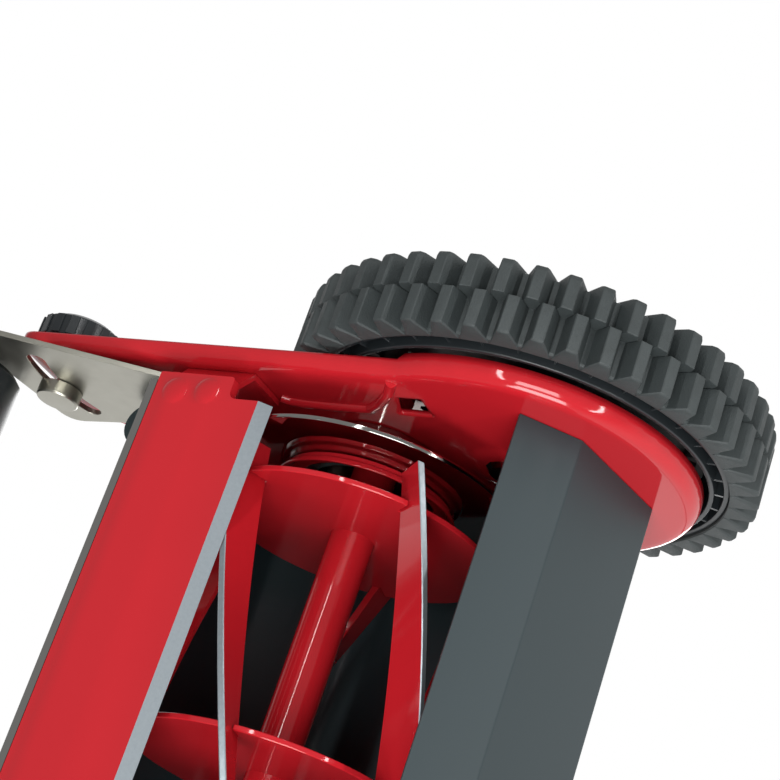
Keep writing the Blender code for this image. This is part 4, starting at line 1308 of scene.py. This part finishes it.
def bracket():
    loops = [[(AXLE.y + forward, AXLE.z + up) for forward, up in loop]
             for loop in (bracket_outline(), bracket_slot())]
    name = "roller_bracket_plate_right"
    return cut_plate(name, loops, BRACKET_LOW, BRACKET_HIGH, "zinc_steel", edge=0.00035)


def pivot_pin():
    """A rivet with a dished head inside and an upset end outside."""
    outer = PLATE_X + SHEET + PLAY
    head = [(HEAD_FACE - 0.0022, 0), (HEAD_FACE - 0.0022, 0.0035), (HEAD_FACE - 0.0030, 0.0060),
            (HEAD_FACE - 0.0022, 0.0078), (HEAD_FACE, 0.0080), (HEAD_FACE, SHANK_RADIUS)]
    upset = [(outer, SHANK_RADIUS), (outer, 0.0065), (outer + 0.0035, 0.0055), (outer + 0.0040, 0)]
    return turned("bracket_rivet_right", head + upset, BRACKET_PIN, "red_enamel", 40, closed=False)


def clamp_bolt():
    low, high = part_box("clamp_bolt_right")
    profile = [(low.x, 0), (low.x, 0.0094), (low.x + 0.0008, 0.0100), (HEAD_FACE, 0.0100),
               (HEAD_FACE, SHANK_RADIUS), (high.x, SHANK_RADIUS), (high.x, 0)]
    return turned("clamp_bolt_head_right", profile, CLAMP, "zinc_steel", 56, edge=0.0003, closed=False)


fit_both(bracket(), "roller_arms", "zinc_steel", "roller_bracket_right")
fit_both(pivot_pin(), "frame", "red_enamel", "bracket_pivot_pin_right")
fit_both(clamp_bolt(), "frame", "zinc_steel", "clamp_bolt_right")

# %% [markdown]
# ## Knobs and roller
# A knob pulls each bracket tight from outside, and flutes round it give the fingers a grip. They could be
# cut into the knob, but raised bars from the ring tree look the same and keep the mesh light. The roller is
# a plastic tube with shallow grooves, and a loop writes the grooves into the profile that is turned.

# %% Build the knobs
KNOB_FLUTES = 16


def knob():
    low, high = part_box("clamp_knob_right")
    rim, radius, top = low.x + 0.0072, 0.0192, high.x
    profile = [(top - 0.0045, 0), (top - 0.0045, 0.0043), (low.x, 0.0043), (low.x, 0.0085), (rim, 0.0090),
               (rim, radius), (top - 0.0030, radius), (top - 0.0005, radius - 0.0040), (top, 0.0100),
               (top, 0)]
    body = turned("knob", profile, CLAMP, "black_plastic", 72, edge=0.0010, closed=False)
    flute = bar_seed((rim + 0.0004, 0.0180), (top - 0.0030, 0.0199), 0.0024, slope=0.15)
    flutes = ring_of("flutes", flute, KNOB_FLUTES, CLAMP, "black_plastic")
    return joined("clamp_knob_fluted_right", [body, flutes])


fit_both(knob(), "knob_right", "black_plastic", "clamp_knob_right")

# %% Build the roller
GROOVE_PITCH, GROOVE_DEPTH = 0.048, 0.0015
GROOVE_FLOOR, GROOVE_MOUTH = 0.0010, 0.0020
ROLLER_EDGE, ROLLER_BORE = 0.003, 0.0063


def roller():
    low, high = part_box("rear_roller")
    radius = ROLLER.z
    profile = [(low.x, ROLLER_BORE), (low.x, radius - ROLLER_EDGE), (low.x + ROLLER_EDGE, radius)]
    for groove in range(-3, 4):
        x, floor = groove * GROOVE_PITCH, radius - GROOVE_DEPTH
        profile += [(x - GROOVE_MOUTH, radius), (x - GROOVE_FLOOR, floor), (x + GROOVE_FLOOR, floor),
                    (x + GROOVE_MOUTH, radius)]
    profile += [(high.x - ROLLER_EDGE, radius), (high.x, radius - ROLLER_EDGE), (high.x, ROLLER_BORE)]
    return turned("rear_roller_grooved", profile, ROLLER, "black_plastic", 72, edge=0.0005)


fit(roller(), "roller", "black_plastic", "rear_roller")

# %% [markdown]
# ## The handle
# Two lower tubes swing at the side plates, and a U-shaped upper tube is bolted between them. A curve with a
# bevel depth could be the tube, but it would have to be made a mesh afterwards. The rings that made the
# bead serve here too: a ring stands at each point of the path, so the bends stay round, and the ends get a
# cap. Foam sleeves cover the crossbar.

# %% Build the tubes
TUBE, TUBE_SIDES = 0.0105, 32
CAP_RIM = 0.0015
HANDLE_CORNER = 0.060
LOWER_X = middle("lower_handle_right").x
UPPER_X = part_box("upper_handle")[1].x - TUBE
BAR_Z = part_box("upper_handle")[1].z - TUBE


def tube(name, path):
    """A round bar with flat ends along a path of (x, z) points, in the plane of the handle."""
    bm = bmesh.new()
    rings = []
    for ring in rings_along(path, TUBE, TUBE_SIDES):
        rings.append([bm.verts.new((point.x, HANDLE_FOOT.y + height, point.y)) for point, height in ring])
    skinned(bm, rings)
    for ring in (rings[0], rings[-1]):
        cap = bm.faces.new(ring)
        bmesh.ops.inset_region(bm, faces=[cap], thickness=CAP_RIM, depth=0.0)
    return piece_from(name, bm, "grey_paint")


def lower_handle():
    low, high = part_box("lower_handle_right")
    return tube("lower_handle_tube_right", [(LOWER_X, low.z - 0.004), (LOWER_X, high.z)])


def upper_handle():
    foot = (UPPER_X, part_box("upper_handle")[0].z)
    bend = arc((UPPER_X - HANDLE_CORNER, BAR_Z - HANDLE_CORNER), HANDLE_CORNER, 0, 90, 18)
    right = [foot, *bend]
    return tube("upper_handle_tube", right + [(-x, z) for x, z in reversed(right)])


fit_both(lower_handle(), "handle", "grey_paint", "lower_handle_right")
fit(upper_handle(), "handle", "grey_paint", "upper_handle")

# %% Build the grips
GRIP_RADIUS, GRIP_BORE = 0.0150, TUBE + 0.0002


def grip():
    low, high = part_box("handle_grip_right")
    profile = [(low.x, GRIP_BORE), (low.x, GRIP_RADIUS), (high.x, GRIP_RADIUS), (high.x, GRIP_BORE)]
    crossbar = (0, HANDLE_FOOT.y, BAR_Z)
    return turned("handle_grip_foam_right", profile, crossbar, "grip_foam", 48, edge=0.0030)


fit_both(grip(), "handle", "grip_foam", "handle_grip_right")

# %% [markdown]
# ## The handle's bolts
# Through bolts with a hexagon at each end hold the tubes. A six-sided cylinder could be the hexagon, but
# the same plate cutter that made the discs also breaks its edges. The turned shank and the two hexagons are
# joined into one piece.

# %% Build the bolts
ACROSS_FLATS = 0.0130
HEAD_HEIGHT, JOINT_NUT_HEIGHT = 0.0050, 0.0035


def hexagon(low_x, high_x, centre):
    """A nut or a bolt's head: six flats with broken edges."""
    loop = circle((centre.y, centre.z), ACROSS_FLATS / math.sqrt(3), 6)
    return cut_plate("hexagon", [loop], low_x, high_x, "zinc_steel", edge=0.0006)


def through_bolt(name, node, nut_low):
    """A round shank with a head on its low X side and a nut from nut_low outwards."""
    low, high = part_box(node)
    centre = middle(node)
    profile = [(low.x, 0), (low.x, SHANK_RADIUS), (high.x, SHANK_RADIUS), (high.x, 0)]
    shank = turned("shank", profile, centre, "zinc_steel", 32, closed=False)
    head = hexagon(low.x, low.x + HEAD_HEIGHT, centre)
    nut = hexagon(nut_low, high.x, centre)
    return joined(name, [shank, head, nut])


joint_nut_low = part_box("handle_joint_bolt_right")[1].x - JOINT_NUT_HEIGHT
pivot_bolt = through_bolt("handle_pivot_bolt_hex_right", "handle_pivot_bolt_right", PLATE_X + SHEET + PLAY)
joint_bolt = through_bolt("handle_joint_bolt_hex_right", "handle_joint_bolt_right", joint_nut_low)
fit_both(pivot_bolt, "frame", "zinc_steel", "handle_pivot_bolt_right")
fit_both(joint_bolt, "handle", "zinc_steel", "handle_joint_bolt_right")

# %% [markdown]
# ## Parts that keep their plain shape
# The gears, bearings, axles, bar, straps and tie rod already have the right shape in the frame. They could
# be built again like the rest, but nothing would be gained, so they only get their finish.

# %% Finish what is left of the frame
slot_of = {part["node"]: part["material_slot"] for part in frame["record"]["subparts"]}
for name, node in frame["nodes"].items():
    if not node.hide_render:
        node.data.materials.clear()
        node.data.materials.append(FINISHES[slot_of[name]])
        print(name, "keeps its shape in", slot_of[name])
